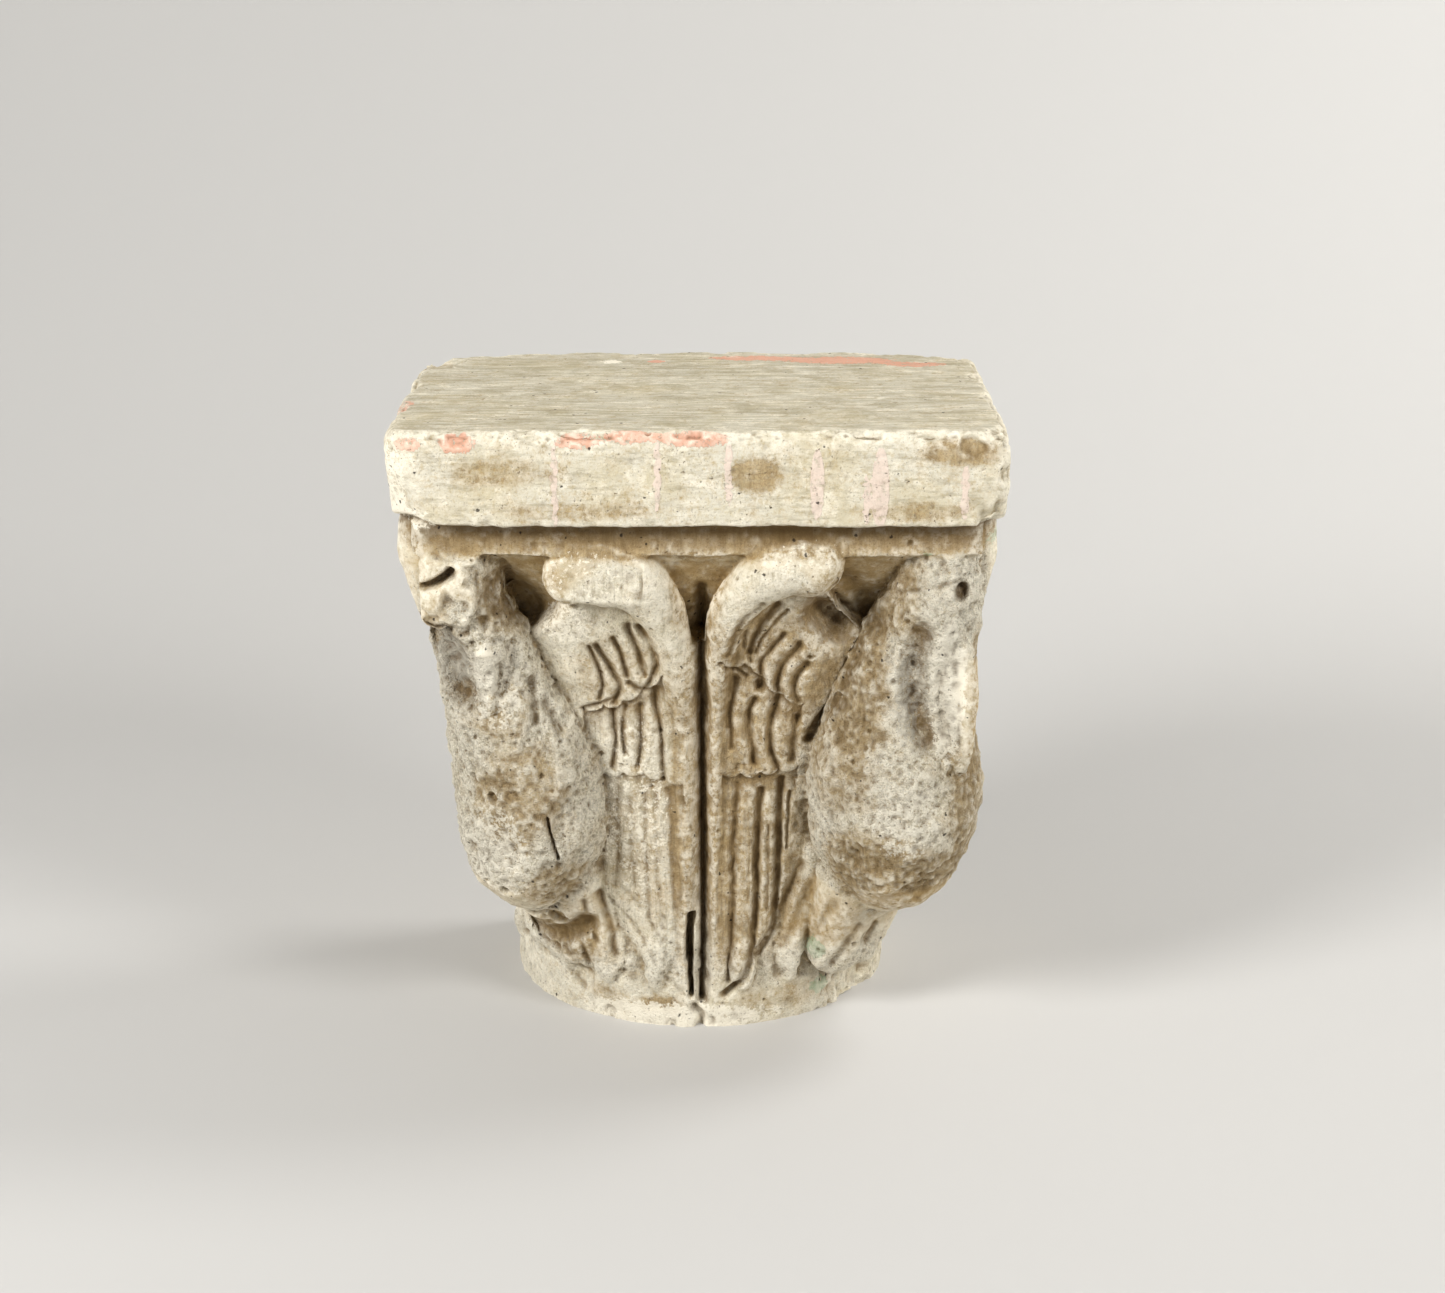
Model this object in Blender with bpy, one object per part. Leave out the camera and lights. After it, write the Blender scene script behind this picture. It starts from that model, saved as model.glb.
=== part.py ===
"""Half capital of cast plaster: an abacus on a bell carried by two corner birds.

The front faces -Y, +X is to the viewer's right and the flat back at y = BACK meets
the wall. The origin is the centre of the round base, on its bed. Every length in
this file is in millimetres and becomes metres where a mesh is made.
"""

import bpy
import bmesh
import numpy as np
from math import cos, pi, radians, sin
from mathutils import Matrix, Vector

MM = 0.001

# Driving sizes
WIDTH = 320.0
FRONT = WIDTH / 2
BACK = 55.0
HEIGHT = 353.0
ABACUS_HEIGHT = 50.0
FILLET_HEIGHT = 18.0
RING_HEIGHT = 27.0
UPPER_WEAR = 6.0
LOWER_WEAR = 2.5
ABACUS_FOOT = HEIGHT - ABACUS_HEIGHT
FILLET_FOOT = ABACUS_FOOT - FILLET_HEIGHT

# Lower corners of the abacus that are knocked round, how far from them and how deep
WORN_CORNERS = (((-FRONT, -FRONT, ABACUS_FOOT), 36, 10), ((FRONT, -FRONT, ABACUS_FOOT), 24, 5))

# The two back corners are swept forward
SWEEP_DEPTH = 22.0
LEFT_SWEEP = 88.0
RIGHT_SWEEP = 66.0

# How finely the cast is made, and how far it stands over its flat top before the trim
VOXEL = 1.8
TRIANGLES = 9600
SPARE = 0.8

# Half width of the plain bell and of its wings' faces, and how square they are, each by height
BELL = ((-4, 107), (2, 108), (RING_HEIGHT - 4, 108), (RING_HEIGHT + 3, 106), (50, 104), (100, 101),
        (150, 101), (200, 104), (235, 112), (255, 121), (270, 130), (280, 138), (FILLET_FOOT, 144))
WING_FACE = ((-4, 107), (60, 108), (100, 110), (150, 114), (200, 122), (225, 128), (250, 136),
             (275, 143), (FILLET_FOOT, 145))
SQUARENESS = ((0, 2.0), (40, 2.1), (120, 2.7), (200, 3.6), (260, 5.0), (FILLET_FOOT, 9.0))
BELL_COLUMNS = 220
BELL_ROWS = 110

# A wing's outline, as distance from the centre line of its face and height, how softly
# its edge rises, and how far behind the middle the flank's wing may run
WING = ((-9, 8), (-9, 232), (4, 236), (9, 252), (22, 276), (48, 282), (70, 262), (76, 250), (92, 238),
        (98, 220), (96, 180), (88, 110), (58, 88), (49, 68), (38, 46), (25, 27), (14, 12))
WING_SOFTNESS = 6.0
WING_BACK = 5.0

# The wing's leading edge, curled over at the top: distance from the centre line, out,
# height, half width, half depth
RIGHT_RIM = ((7, 101, 14, 4, 5), (7.5, 103, 60, 4.5, 6), (9, 110, 160, 6, 8), (10, 116, 200, 7, 10),
             (12, 124, 228, 9, 11), (18, 133, 252, 12, 12), (31, 140, 270, 14, 14),
             (47, 142, 280, 16, 15), (62, 142, 279, 16.5, 14))
LEFT_RIM = ((6, 101, 14, 4, 5), (6.5, 103, 60, 4.5, 6), (8, 110, 160, 7, 7.5), (9, 116, 198, 8.5, 9),
            (13, 124, 226, 11, 10), (20, 132, 252, 13, 12), (33, 139, 270, 16.5, 13),
            (50, 142, 276, 18.5, 12), (69, 141, 273, 14, 11))
FLANK_RIM = (*RIGHT_RIM[:6], (31, 141, 270, 14, 14), (50, 144, 280, 15.5, 15), (72, 145, 279, 16, 14),
             (84, 144, 274, 14, 13))

# Each bird from its tail to its crown, and its beak: across, out, height, half width, half depth
RIGHT_BIRD = ((96, 96, 76, 14, 14), (99, 99, 86, 26, 26), (102, 102, 98, 36, 36), (104, 104, 115, 43, 43),
              (106, 106, 135, 47, 47), (107, 107, 158, 47, 46), (110, 110, 198, 39, 36),
              (113, 113, 216, 35, 32), (124, 124, 252, 27, 26), (129, 129, 284, 19, 20))
LEFT_BIRD = ((86, 90, 74, 15, 15), (88, 92, 84, 27, 27), (90, 94, 98, 35, 36), (91, 96, 118, 41, 41),
             (92, 97, 140, 42, 42), (95, 99, 160, 41, 40), (107, 108, 196, 32, 31),
             (112, 113, 215, 29, 28), (121, 124, 255, 23, 23), (122, 127, 284, 20, 20))
RIGHT_BEAK = ((130, 130, 250, 12, 14), (136, 136, 212, 10, 13), (138, 138, 192, 8.5, 11),
              (138, 138, 174, 6, 8), (137, 137, 164, 3, 5))
LEFT_BEAK = ((112, 133, 236, 6, 8), (110, 131, 222, 7, 9), (110, 128, 208, 6, 8), (111, 125, 199, 3, 5))

# The left head is worn to a block: its corners with their radii, its foot, its rounding
HEAD_BLOCK = ((-144, -150, 7), (-110, -152, 8), (-110, -116, 4), (-144, -116, 4))
HEAD_FOOT = 247.0
HEAD_ROUND = 6.0

# What both birds share: two thighs beside the body, each given from the body's axis, the
# toes that fan out over the ring (from the middle of the base, height, half width), the
# tail that hangs behind the wing, and the strip of plaster behind the neck
THIGHS = (((-14, -2), (-20, -10), (-26, -14)), ((-2, -14), (-8, -22), (-14, -26)))
THIGH_LEVELS = ((92, 24, 20), (66, 22, 18), (40, 18, 14))
TOE = ((86, 60, 12), (99, 50, 11), (106, 36, 8), (107, 27, 5))
TOE_TURNS = (-32, -17, -2, 13, 28)
TAIL = ((64, 98, 104, 8), (57, 97, 82, 9), (54, 96, 62, 8), (53, 96, 42, 6))
TAIL_DEPTH = 5.0
CHEEK = ((145, 296, 13), (144, 282, 14), (140, 262, 13), (133, 243, 12), (127, 222, 10))
CHEEK_OUT = 117.0

# Rows of feathers: the first and the last shaft from the leading edge outwards, the
# number of shafts, how wide and how deep they are cut
RIGHT_ROWS = ((((44, 254), (33, 240), (28, 226)), ((59, 220), (53, 208), (54, 197)), 4, 2.0, 2.4),
              (((20, 210), (17, 190), (18, 170), (19, 160)), ((54, 190), (51, 176), (52, 161)), 4, 2.0, 2.6),
              (((21, 147), (19, 110), (18, 60), (15, 26)), ((50, 146), (48, 108), (45, 72), (33, 44)),
               4, 2.2, 2.8))
LEFT_ROWS = ((((37, 242), (33, 228), (27, 214)), ((59, 229), (52, 214), (54, 197)), 4, 2.0, 2.4),
             (((22, 206), (21, 190), (19, 172), (18, 156)), ((48, 192), (45, 174), (48, 157)), 4, 2.0, 2.6),
             (((16, 146), (15, 110), (14, 60), (11, 26)), ((46, 144), (46, 108), (43, 74), (31, 50)),
              4, 2.0, 2.2))

# Where a row's tips end, and how far they stand over the next row
RIGHT_TIPS = (((14, 221), (28, 222), (38, 208), (56, 196)), ((13, 155), (30, 155), (54, 158)))
LEFT_TIPS = (((18, 216), (29, 206), (45, 196), (62, 193)), ((8, 150), (32, 156), (52, 154)))
TIP_STEP = 2.2

# Where the carving may reach: how far out a face lies, how it starts as the skin turns away
FRONT_REACH = 60.0
TURN_START = 0.1
TURN_RANGE = 0.4

# Grooves and hollows cut with one stroke: line, half width, depth
CENTRE_GROOVE = (((2, 262), (2, 240), (2, 180), (2.5, 120), (2.5, 60), (2, 17)), 3.6, 9)
NECK_GROOVE = (((86, 233), (77, 205)), 2.6, 4)
BREAST_GROOVE = (((77, 201), (67, 188), (60, 174)), 3.2, 6)
RIGHT_STROKES = (NECK_GROOVE, BREAST_GROOVE, (((117, 240), (113, 222), (115, 204), (121, 186)), 6, 7),
                 (((69, 254), (76, 246)), 9, 15), (((57, 94), (50, 78), (43, 62)), 2.5, 3),
                 (((74, 76), (66, 60), (58, 44)), 2.5, 2.5), (((137, 267), (137, 265)), 3.5, 6))
LEFT_STROKES = ((((89, 214), (87, 190)), 2.6, 3), (((84, 202), (74, 182)), 2.2, 2.5),
                (((98, 262), (88, 249)), 10, 9), (((139, 242), (128, 232), (124, 222)), 8, 9),
                (((56, 78), (50, 58), (47, 40)), 2.8, 3), (((92, 62), (80, 58), (72, 46)), 4, 4),
                (((141, 269), (127, 277)), 2.6, 6))


def profile(points, height):
    """Read a profile, given as (height, value) pairs, at any height."""
    heights, values = zip(*points)
    return np.interp(height, heights, values)


def through(stations, per_span):
    """Points of a smooth curve that passes through the stations."""
    points = np.array(stations, float)
    padded = np.vstack((2 * points[0] - points[1], points, 2 * points[-1] - points[-2]))
    curve = []
    for i in range(len(points) - 1):
        a, b, c, d = padded[i:i + 4]
        for t in np.arange(per_span) / per_span:
            curve.append(b + 0.5 * t * (c - a + t * (2 * a - 5 * b + 4 * c - d
                                                     + t * (3 * (b - c) + d - a))))
    return np.array(curve + [points[-1]])


def ease(value):
    """Smooth step from 0 to 1."""
    t = np.clip(value, 0.0, 1.0)
    return t * t * (3 - 2 * t)


def distance_to_line(u, v, line):
    """Distance from points (u, v) to an open line."""
    nearest = np.full(u.shape, 1e9)
    for (ua, va), (ub, vb) in zip(line[:-1], line[1:]):
        du, dv = ub - ua, vb - va
        t = np.clip(((u - ua) * du + (v - va) * dv) / (du * du + dv * dv + 1e-12), 0, 1)
        nearest = np.minimum(nearest, np.hypot(u - ua - t * du, v - va - t * dv))
    return nearest


def distance_inside(u, v, outline):
    """Distance from points (u, v) to a closed outline, negative outside it."""
    closed = (*outline, outline[0])
    within = np.zeros(u.shape, bool)
    for (ua, va), (ub, vb) in zip(closed[:-1], closed[1:]):
        if va != vb:
            crosses = (va > v) != (vb > v)
            within ^= crosses & (u < (ub - ua) * (v - va) / (vb - va) + ua)
    return np.where(within, 1, -1) * distance_to_line(u, v, closed)


def grid_mesh(rings):
    """Closed body through a stack of rings, with a flat cap at each end."""
    rows, columns = len(rings), len(rings[0])
    body = bmesh.new()
    verts = [body.verts.new(Vector(point) * MM) for ring in rings for point in ring]
    for row in range(rows - 1):
        for column in range(columns):
            after = (column + 1) % columns
            body.faces.new((verts[row * columns + column], verts[row * columns + after],
                            verts[(row + 1) * columns + after], verts[(row + 1) * columns + column]))
    body.faces.new(verts[:columns][::-1])
    body.faces.new(verts[-columns:])
    bmesh.ops.recalc_face_normals(body, faces=body.faces)
    return body


def tube(stations, outward, sides=20, per_span=5):
    """Round-ended tube; a station is x, y, z, half width across, half depth outward."""
    line = through(stations, per_span)
    path, radii = line[:, :3], np.maximum(line[:, 3:], 0.5)
    tangents = np.gradient(path, axis=0)
    last = len(path) - 1
    turns = [radians(a) for a in (80, 60, 40, 20)]
    order = [(0, -a) for a in turns] + [(i, 0.0) for i in range(last + 1)]
    order += [(last, a) for a in reversed(turns)]
    rings = []
    for index, angle in order:
        tangent = Vector(tangents[index]).normalized()
        out = Vector(outward)
        out = (out - tangent * out.dot(tangent)).normalized()
        across = tangent.cross(out)
        wide, deep = radii[index] * cos(angle)
        centre = Vector(path[index]) + tangent * min(radii[index]) * sin(angle)
        rings.append([centre + across * wide * cos(t) + out * deep * sin(t)
                      for t in np.arange(sides) * 2 * pi / sides])
    return grid_mesh(rings)


def slab(outline, low, high, upper_round, lower_round):
    """Upright slab on an outline, with its upper and lower edges rounded off."""
    body = bmesh.new()
    face = body.faces.new([body.verts.new(Vector((x, y, low)) * MM) for x, y in outline])
    raised = bmesh.ops.extrude_face_region(body, geom=[face])["geom"]
    lift = Vector((0, 0, high - low)) * MM
    bmesh.ops.translate(body, vec=lift, verts=[g for g in raised if isinstance(g, bmesh.types.BMVert)])
    bmesh.ops.recalc_face_normals(body, faces=body.faces)
    for level, round_off in ((high, upper_round), (low, lower_round)):
        flat = [e for e in body.edges if all(abs(v.co.z - level * MM) < MM / 100 for v in e.verts)]
        bmesh.ops.bevel(body, geom=flat, offset=round_off * MM, segments=4, profile=0.5, affect="EDGES")
    return body


def rounded_outline(corners):
    """Outline with each corner, given as (x, y, radius), turned into an arc."""
    points = []
    for i, (x, y, radius) in enumerate(corners):
        here = Vector((x, y))
        before = (Vector(corners[i - 1][:2]) - here).normalized()
        after = (Vector(corners[(i + 1) % len(corners)][:2]) - here).normalized()
        half = before.angle(after) / 2
        centre = here + (before + after).normalized() * radius / sin(half)
        start = here + before * radius / np.tan(half) - centre
        for t in np.linspace(0, pi - 2 * half, 7):
            points.append(centre + Matrix.Rotation(t, 2) @ start)
    return points


def bell():
    """Bell that turns from a round foot into a square top, with the four wings raised on it."""
    angles = np.arange(BELL_COLUMNS) * 2 * pi / BELL_COLUMNS
    rings = []
    for height in np.linspace(BELL[0][0], FILLET_FOOT + 6, BELL_ROWS):
        power = profile(SQUARENESS, height)
        plain = (np.abs(np.cos(angles)) ** power + np.abs(np.sin(angles)) ** power) ** (-1 / power)
        x = plain * np.cos(angles) * profile(BELL, height)
        y = plain * np.sin(angles) * profile(BELL, height)
        lift = profile(WING_FACE, height) - profile(BELL, height)
        level = np.full(BELL_COLUMNS, height)
        front = np.abs(y) > np.abs(x)
        along = np.where(front, np.abs(x), np.abs(y))
        raised = ease(distance_inside(along, level, WING) / WING_SOFTNESS + 0.2) * lift
        raised *= np.where(front, y < 0, y < WING_BACK)
        x += np.where(front, 0, np.sign(x) * raised)
        y += np.where(front, np.sign(y) * raised, 0)
        rings.append(list(zip(x, y, level)))
    return grid_mesh(rings)


def on_front(side, stations):
    """Stations given from the centre line outwards, set on the front face."""
    return [(side * s, -out, z, *rest) for s, out, z, *rest in stations]


def on_flank(side, stations):
    """The same stations, set on the flank across the corner."""
    return [(side * out, -s, z, *rest) for s, out, z, *rest in stations]


def wing_rims():
    """Leading edges of the four wings, each ending in its round wrist."""
    bodies = [tube(on_front(1, RIGHT_RIM), (0, -1, 0)), tube(on_front(-1, LEFT_RIM), (0, -1, 0))]
    for side in (1, -1):
        bodies.append(tube(on_flank(side, FLANK_RIM), (side, 0, 0)))
    return bodies


def bird(side, figure, beak):
    """One corner bird: its body, neck and head in one swelling, then beak, thighs and claws."""
    out = (side, -1, 0)
    bodies = [tube(on_front(side, figure), out, sides=36), tube(on_front(side, beak), out)]
    across, deep = figure[2][:2]
    for thigh in THIGHS:
        leg = [(across + s, deep + d, *level) for (s, d), level in zip(thigh, THIGH_LEVELS)]
        bodies.append(tube(on_front(side, leg), out))
    for turn in TOE_TURNS:
        a = radians(45 + turn)
        toe = [(r * sin(a), r * cos(a), z, w, w) for r, z, w in TOE]
        bodies.append(tube(on_front(side, toe), out))
    tail = [(s, deep, z, w, TAIL_DEPTH) for s, deep, z, w in TAIL]
    bodies += [tube(on_front(side, tail), (0, -1, 0)), tube(on_flank(side, tail), (side, 0, 0))]
    bodies.append(tube([(side * across, -CHEEK_OUT, z, w, w) for across, z, w in CHEEK], (side, 0, 0)))
    return bodies


def corner_birds():
    """Both birds; the left one has lost its head's face and most of its beak."""
    head = slab(rounded_outline(HEAD_BLOCK), HEAD_FOOT, FILLET_FOOT + 2, HEAD_ROUND, HEAD_ROUND)
    return bird(1, RIGHT_BIRD, RIGHT_BEAK) + bird(-1, LEFT_BIRD, LEFT_BEAK) + [head]


def worn_corner(place, corner, reach, loss):
    """Knock a corner round: plaster near it draws back towards the middle of the slab."""
    corner = np.array(corner)
    inward = np.array((-np.sign(corner[0]), -np.sign(corner[1]), 1.0)) / np.sqrt(3.0)
    near = ease(1 - np.linalg.norm(place - corner, axis=1) / reach) * (place[:, 2] > ABACUS_FOOT - 1)
    return place + near[:, None] * loss * inward


def abacus():
    """Abacus slab with worn corners, and the fillet below it, both run past the back."""
    behind = BACK + 12
    top = rounded_outline(((-FRONT, -FRONT, 17), (FRONT, -FRONT, 8), (FRONT - 1, behind, 3),
                           (-FRONT, behind, 3)))
    step = 12.0
    inner = rounded_outline(((-FRONT + step, -FRONT + step, 8), (FRONT - step, -FRONT + step, 5),
                             (FRONT - step, behind, 3), (-FRONT + step, behind, 3)))
    return [slab(top, ABACUS_FOOT, HEIGHT + SPARE, UPPER_WEAR, LOWER_WEAR),
            slab(inner, FILLET_FOOT, ABACUS_FOOT + 9, 1.0, 1.5)]


def plaster_mass():
    """All the forms as one mesh of overlapping bodies."""
    mesh = bpy.data.meshes.new("forms")
    whole = bmesh.new()
    for body in [bell(), *abacus(), *wing_rims(), *corner_birds()]:
        piece = bpy.data.meshes.new("form")
        body.to_mesh(piece)
        body.free()
        whole.from_mesh(piece)
        bpy.data.meshes.remove(piece)
    whole.to_mesh(mesh)
    whole.free()
    return mesh


def cast(mesh):
    """Fuse the forms into one skin, as the plaster fills its mould."""
    source = bpy.data.objects.new("forms", mesh)
    bpy.context.collection.objects.link(source)
    fuse = source.modifiers.new("fuse", "REMESH")
    fuse.mode = "VOXEL"
    fuse.voxel_size = VOXEL * MM
    soften = source.modifiers.new("soften", "SMOOTH")
    soften.factor = 0.5
    soften.iterations = 4
    bpy.context.view_layer.update()
    graph = bpy.context.evaluated_depsgraph_get()
    skin = bpy.data.meshes.new_from_object(source.evaluated_get(graph))
    bpy.data.objects.remove(source)
    return skin


def shafts(first, last, count):
    """Feather shafts spread evenly from the first line of a row to its last."""
    share = np.linspace(0, 1, 13)
    ends = []
    for line in (first, last):
        curve = through(line, 6)
        place = np.linspace(0, 1, len(curve))
        ends.append(np.column_stack([np.interp(share, place, curve[:, axis]) for axis in (0, 1)]))
    return [ends[0] + (ends[1] - ends[0]) * t for t in np.linspace(0, 1, count)]


def cut(along, height, line, half_width, depth):
    """Depth of one rounded groove along a line."""
    return depth * np.exp(-(distance_to_line(along, height, line) / half_width) ** 2)


def wing_carving(along, height, rows, tips, strokes):
    """How deep the plaster is cut at each place of one wing."""
    depth = np.zeros(along.shape)
    for first, last, count, half_width, deep in rows:
        for line in shafts(first, last, count):
            depth = np.maximum(depth, cut(along, height, line, half_width, deep))
    for tip in tips:
        across, levels = zip(*tip)
        below = np.interp(along, across, levels) - height
        over = (along > across[0]) & (along < across[-1])
        depth += np.where(over, TIP_STEP * ease(below / 1.6) * (1 - ease(below / 26)), 0)
    for line, half_width, deep in strokes:
        depth = np.maximum(depth, cut(along, height, through(line, 4), half_width, deep))
    return depth


def carve(skin):
    """Cut feathers, grooves and hollows into the skin, square to the face they lie on."""
    place, normal = np.empty(len(skin.vertices) * 3), np.empty(len(skin.vertices) * 3)
    skin.vertices.foreach_get("co", place)
    skin.vertices.foreach_get("normal", normal)
    place, normal = place.reshape(-1, 3) / MM, normal.reshape(-1, 3)
    x, y, z = place.T
    below_fillet = z < FILLET_FOOT
    front = ease((-normal[:, 1] - TURN_START) / TURN_RANGE) * (y < -FRONT_REACH) * below_fillet
    depth = np.where(x < 0, wing_carving(-x, z, LEFT_ROWS, LEFT_TIPS, LEFT_STROKES),
                     wing_carving(x, z, RIGHT_ROWS, RIGHT_TIPS, RIGHT_STROKES))
    line, half_width, deep = CENTRE_GROOVE
    depth = np.maximum(depth, cut(x, z, line, half_width, deep))
    flank_depth = wing_carving(-y, z, RIGHT_ROWS, RIGHT_TIPS, (NECK_GROOVE, BREAST_GROOVE))
    place[:, 1] += depth * front
    for side in (1, -1):
        flank = ease((side * normal[:, 0] - TURN_START) / TURN_RANGE) * below_fillet
        flank *= (side * x > FRONT_REACH) * (y < 0)
        place[:, 0] -= side * flank_depth * flank
    for corner, reach, loss in WORN_CORNERS:
        place = worn_corner(place, corner, reach, loss)
    skin.vertices.foreach_set("co", (place * MM).ravel())
    skin.update()


def trim_block():
    """Block that the cast is cut to: flat bed and top, flat back with its two corners swept."""
    clear = WIDTH
    plan = ((-clear, -clear), (clear, -clear), (clear, BACK - SWEEP_DEPTH), (FRONT, BACK - SWEEP_DEPTH),
            (FRONT - RIGHT_SWEEP, BACK), (LEFT_SWEEP - FRONT, BACK), (-FRONT, BACK - SWEEP_DEPTH),
            (-clear, BACK - SWEEP_DEPTH))
    body = bmesh.new()
    face = body.faces.new([body.verts.new(Vector((x, y, 0)) * MM) for x, y in plan])
    raised = bmesh.ops.extrude_face_region(body, geom=[face])["geom"]
    lift = Vector((0, 0, HEIGHT)) * MM
    bmesh.ops.translate(body, vec=lift, verts=[g for g in raised if isinstance(g, bmesh.types.BMVert)])
    bmesh.ops.recalc_face_normals(body, faces=body.faces)
    mesh = bpy.data.meshes.new("trim_block")
    body.to_mesh(mesh)
    body.free()
    block = bpy.data.objects.new("trim_block", mesh)
    bpy.context.collection.objects.link(block)
    block.hide_render = True
    block.display_type = "WIRE"
    return block


def plaster():
    """Cream plaster, dull and rough."""
    material = bpy.data.materials.new("plaster")
    material.use_nodes = True
    shader = material.node_tree.nodes["Principled BSDF"]
    shader.inputs["Base Color"].default_value = (0.62, 0.56, 0.45, 1.0)
    shader.inputs["Roughness"].default_value = 0.9
    shader.inputs["Metallic"].default_value = 0.0
    return material


def capital():
    """The whole cast, trimmed flat where it meets the column, the wall and the arch."""
    skin = cast(plaster_mass())
    carve(skin)
    skin.materials.clear()
    skin.materials.append(plaster())
    piece = bpy.data.objects.new("capital", skin)
    bpy.context.collection.objects.link(piece)
    thin = piece.modifiers.new("fewer_faces", "DECIMATE")
    thin.ratio = TRIANGLES / (2.0 * len(skin.polygons))
    thin.use_collapse_triangulate = True
    trim = piece.modifiers.new("trim", "BOOLEAN")
    trim.operation = "INTERSECT"
    trim.solver = "EXACT"
    trim.object = trim_block()
    return piece


def main():
    """Clear the scene and make the capital."""
    for old in list(bpy.data.objects):
        bpy.data.objects.remove(old)
    capital()


main()
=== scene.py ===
"""Looks of a half capital of cast plaster: carved relief, wear, stains and flaked paint.

The plaster is made again from the same named sizes as the solid, on a finer skin, and
then carved stroke by stroke. Lengths are in millimetres until a mesh is made. The front
faces -Y and +X is to the viewer's right.
"""

import logging
from collections.abc import Sequence
from dataclasses import dataclass
from enum import Enum
from functools import reduce
from itertools import product
from math import cos, pi, radians, sin
from typing import Any

import bmesh
import bpy
import numpy as np
from mathutils import Matrix, Vector


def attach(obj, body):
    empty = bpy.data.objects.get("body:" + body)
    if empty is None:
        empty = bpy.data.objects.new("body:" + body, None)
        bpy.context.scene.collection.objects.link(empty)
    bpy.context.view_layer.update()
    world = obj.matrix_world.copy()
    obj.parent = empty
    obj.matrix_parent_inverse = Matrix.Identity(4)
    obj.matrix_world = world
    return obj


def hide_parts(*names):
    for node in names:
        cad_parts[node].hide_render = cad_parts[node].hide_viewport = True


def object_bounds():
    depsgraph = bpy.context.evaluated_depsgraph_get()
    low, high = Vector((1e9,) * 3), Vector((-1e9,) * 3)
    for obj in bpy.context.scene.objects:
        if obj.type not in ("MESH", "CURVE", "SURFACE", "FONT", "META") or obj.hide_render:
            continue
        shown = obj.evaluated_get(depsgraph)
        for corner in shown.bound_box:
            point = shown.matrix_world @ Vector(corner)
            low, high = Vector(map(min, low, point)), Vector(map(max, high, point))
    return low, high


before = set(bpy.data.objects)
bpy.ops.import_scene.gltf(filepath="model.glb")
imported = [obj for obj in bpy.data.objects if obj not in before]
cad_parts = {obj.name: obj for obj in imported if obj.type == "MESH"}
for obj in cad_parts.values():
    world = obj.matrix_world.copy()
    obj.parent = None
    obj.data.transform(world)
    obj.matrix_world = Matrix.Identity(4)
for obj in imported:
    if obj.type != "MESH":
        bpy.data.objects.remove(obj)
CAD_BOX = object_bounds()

log = logging.getLogger("capital")
Array = np.ndarray
Line = Sequence[Sequence[float]]

MM = 0.001

# Driving sizes of the slab, the bed, the back and the base ring
WIDTH = 320.0
FRONT = WIDTH / 2
BACK = 55.0
HEIGHT = 353.0
ABACUS_FOOT = HEIGHT - 50.0
FILLET_FOOT = ABACUS_FOOT - 18.0
RING_HEIGHT = 27.0
SWEEP_DEPTH, LEFT_SWEEP, RIGHT_SWEEP = 22.0, 88.0, 66.0


class Part(Enum):
    """Regions of the plaster that wear and stain in their own way."""

    ABACUS = "abacus"
    HOLLOW = "hollow"
    WING = "wing"
    BIRD = "bird"
    FOOT = "foot"


class Tint(Enum):
    """Stains and paints, each carried to the finish by an attribute of the same name."""

    BROWN = "brown"
    PINK = "pink"
    GREEN = "green"
    WHITE = "white"
    GREY = "grey"
    DRIP = "drip"


def profile(points: Line, height: Any) -> Any:
    """Value at any height, or array of heights, of a profile of heights and values."""
    heights, values = zip(*points)
    return np.interp(height, heights, values)


def through(stations: Line, per_span: int) -> Array:
    """Points of a smooth curve that passes through the stations.

    Args:
        stations: Points of any dimension.
        per_span: Steps between two stations.

    Returns:
        One row for each point of the curve.
    """
    points = np.array(stations, float)
    padded = np.vstack((2 * points[0] - points[1], points, 2 * points[-1] - points[-2]))
    curve = []
    for i in range(len(points) - 1):
        a, b, c, d = padded[i:i + 4]
        for t in np.arange(per_span) / per_span:
            curve.append(b + 0.5 * t * (c - a + t * (2 * a - 5 * b + 4 * c - d
                                                     + t * (3 * (b - c) + d - a))))
    return np.array(curve + [points[-1]])


def ease(value: Any) -> Any:
    """Smooth step, where 0 and below give 0, and 1 and above give 1."""
    t = np.clip(value, 0.0, 1.0)
    return t * t * (3 - 2 * t)


def distance_to_line(u: Array, v: Array, line: Line) -> Array:
    """Distance from points to an open line.

    Args:
        u: First coordinate of the points.
        v: Second coordinate of the points.
        line: The line's own points.

    Returns:
        The distances.
    """
    nearest = np.full(u.shape, 1e9)
    for (ua, va), (ub, vb) in zip(line[:-1], line[1:]):
        du, dv = ub - ua, vb - va
        t = np.clip(((u - ua) * du + (v - va) * dv) / (du * du + dv * dv + 1e-12), 0, 1)
        nearest = np.minimum(nearest, np.hypot(u - ua - t * du, v - va - t * dv))
    return nearest


def distance_inside(u: Array, v: Array, outline: Line) -> Array:
    """Distance from points to a closed outline.

    Args:
        u: First coordinate of the points.
        v: Second coordinate of the points.
        outline: The outline's corners.

    Returns:
        The distances, negative outside.
    """
    closed = (*outline, outline[0])
    within = np.zeros(u.shape, bool)
    for (ua, va), (ub, vb) in zip(closed[:-1], closed[1:]):
        if va != vb:
            crosses = (va > v) != (vb > v)
            within ^= crosses & (u < (ub - ua) * (v - va) / (vb - va) + ua)
    return np.where(within, 1, -1) * distance_to_line(u, v, closed)


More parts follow.
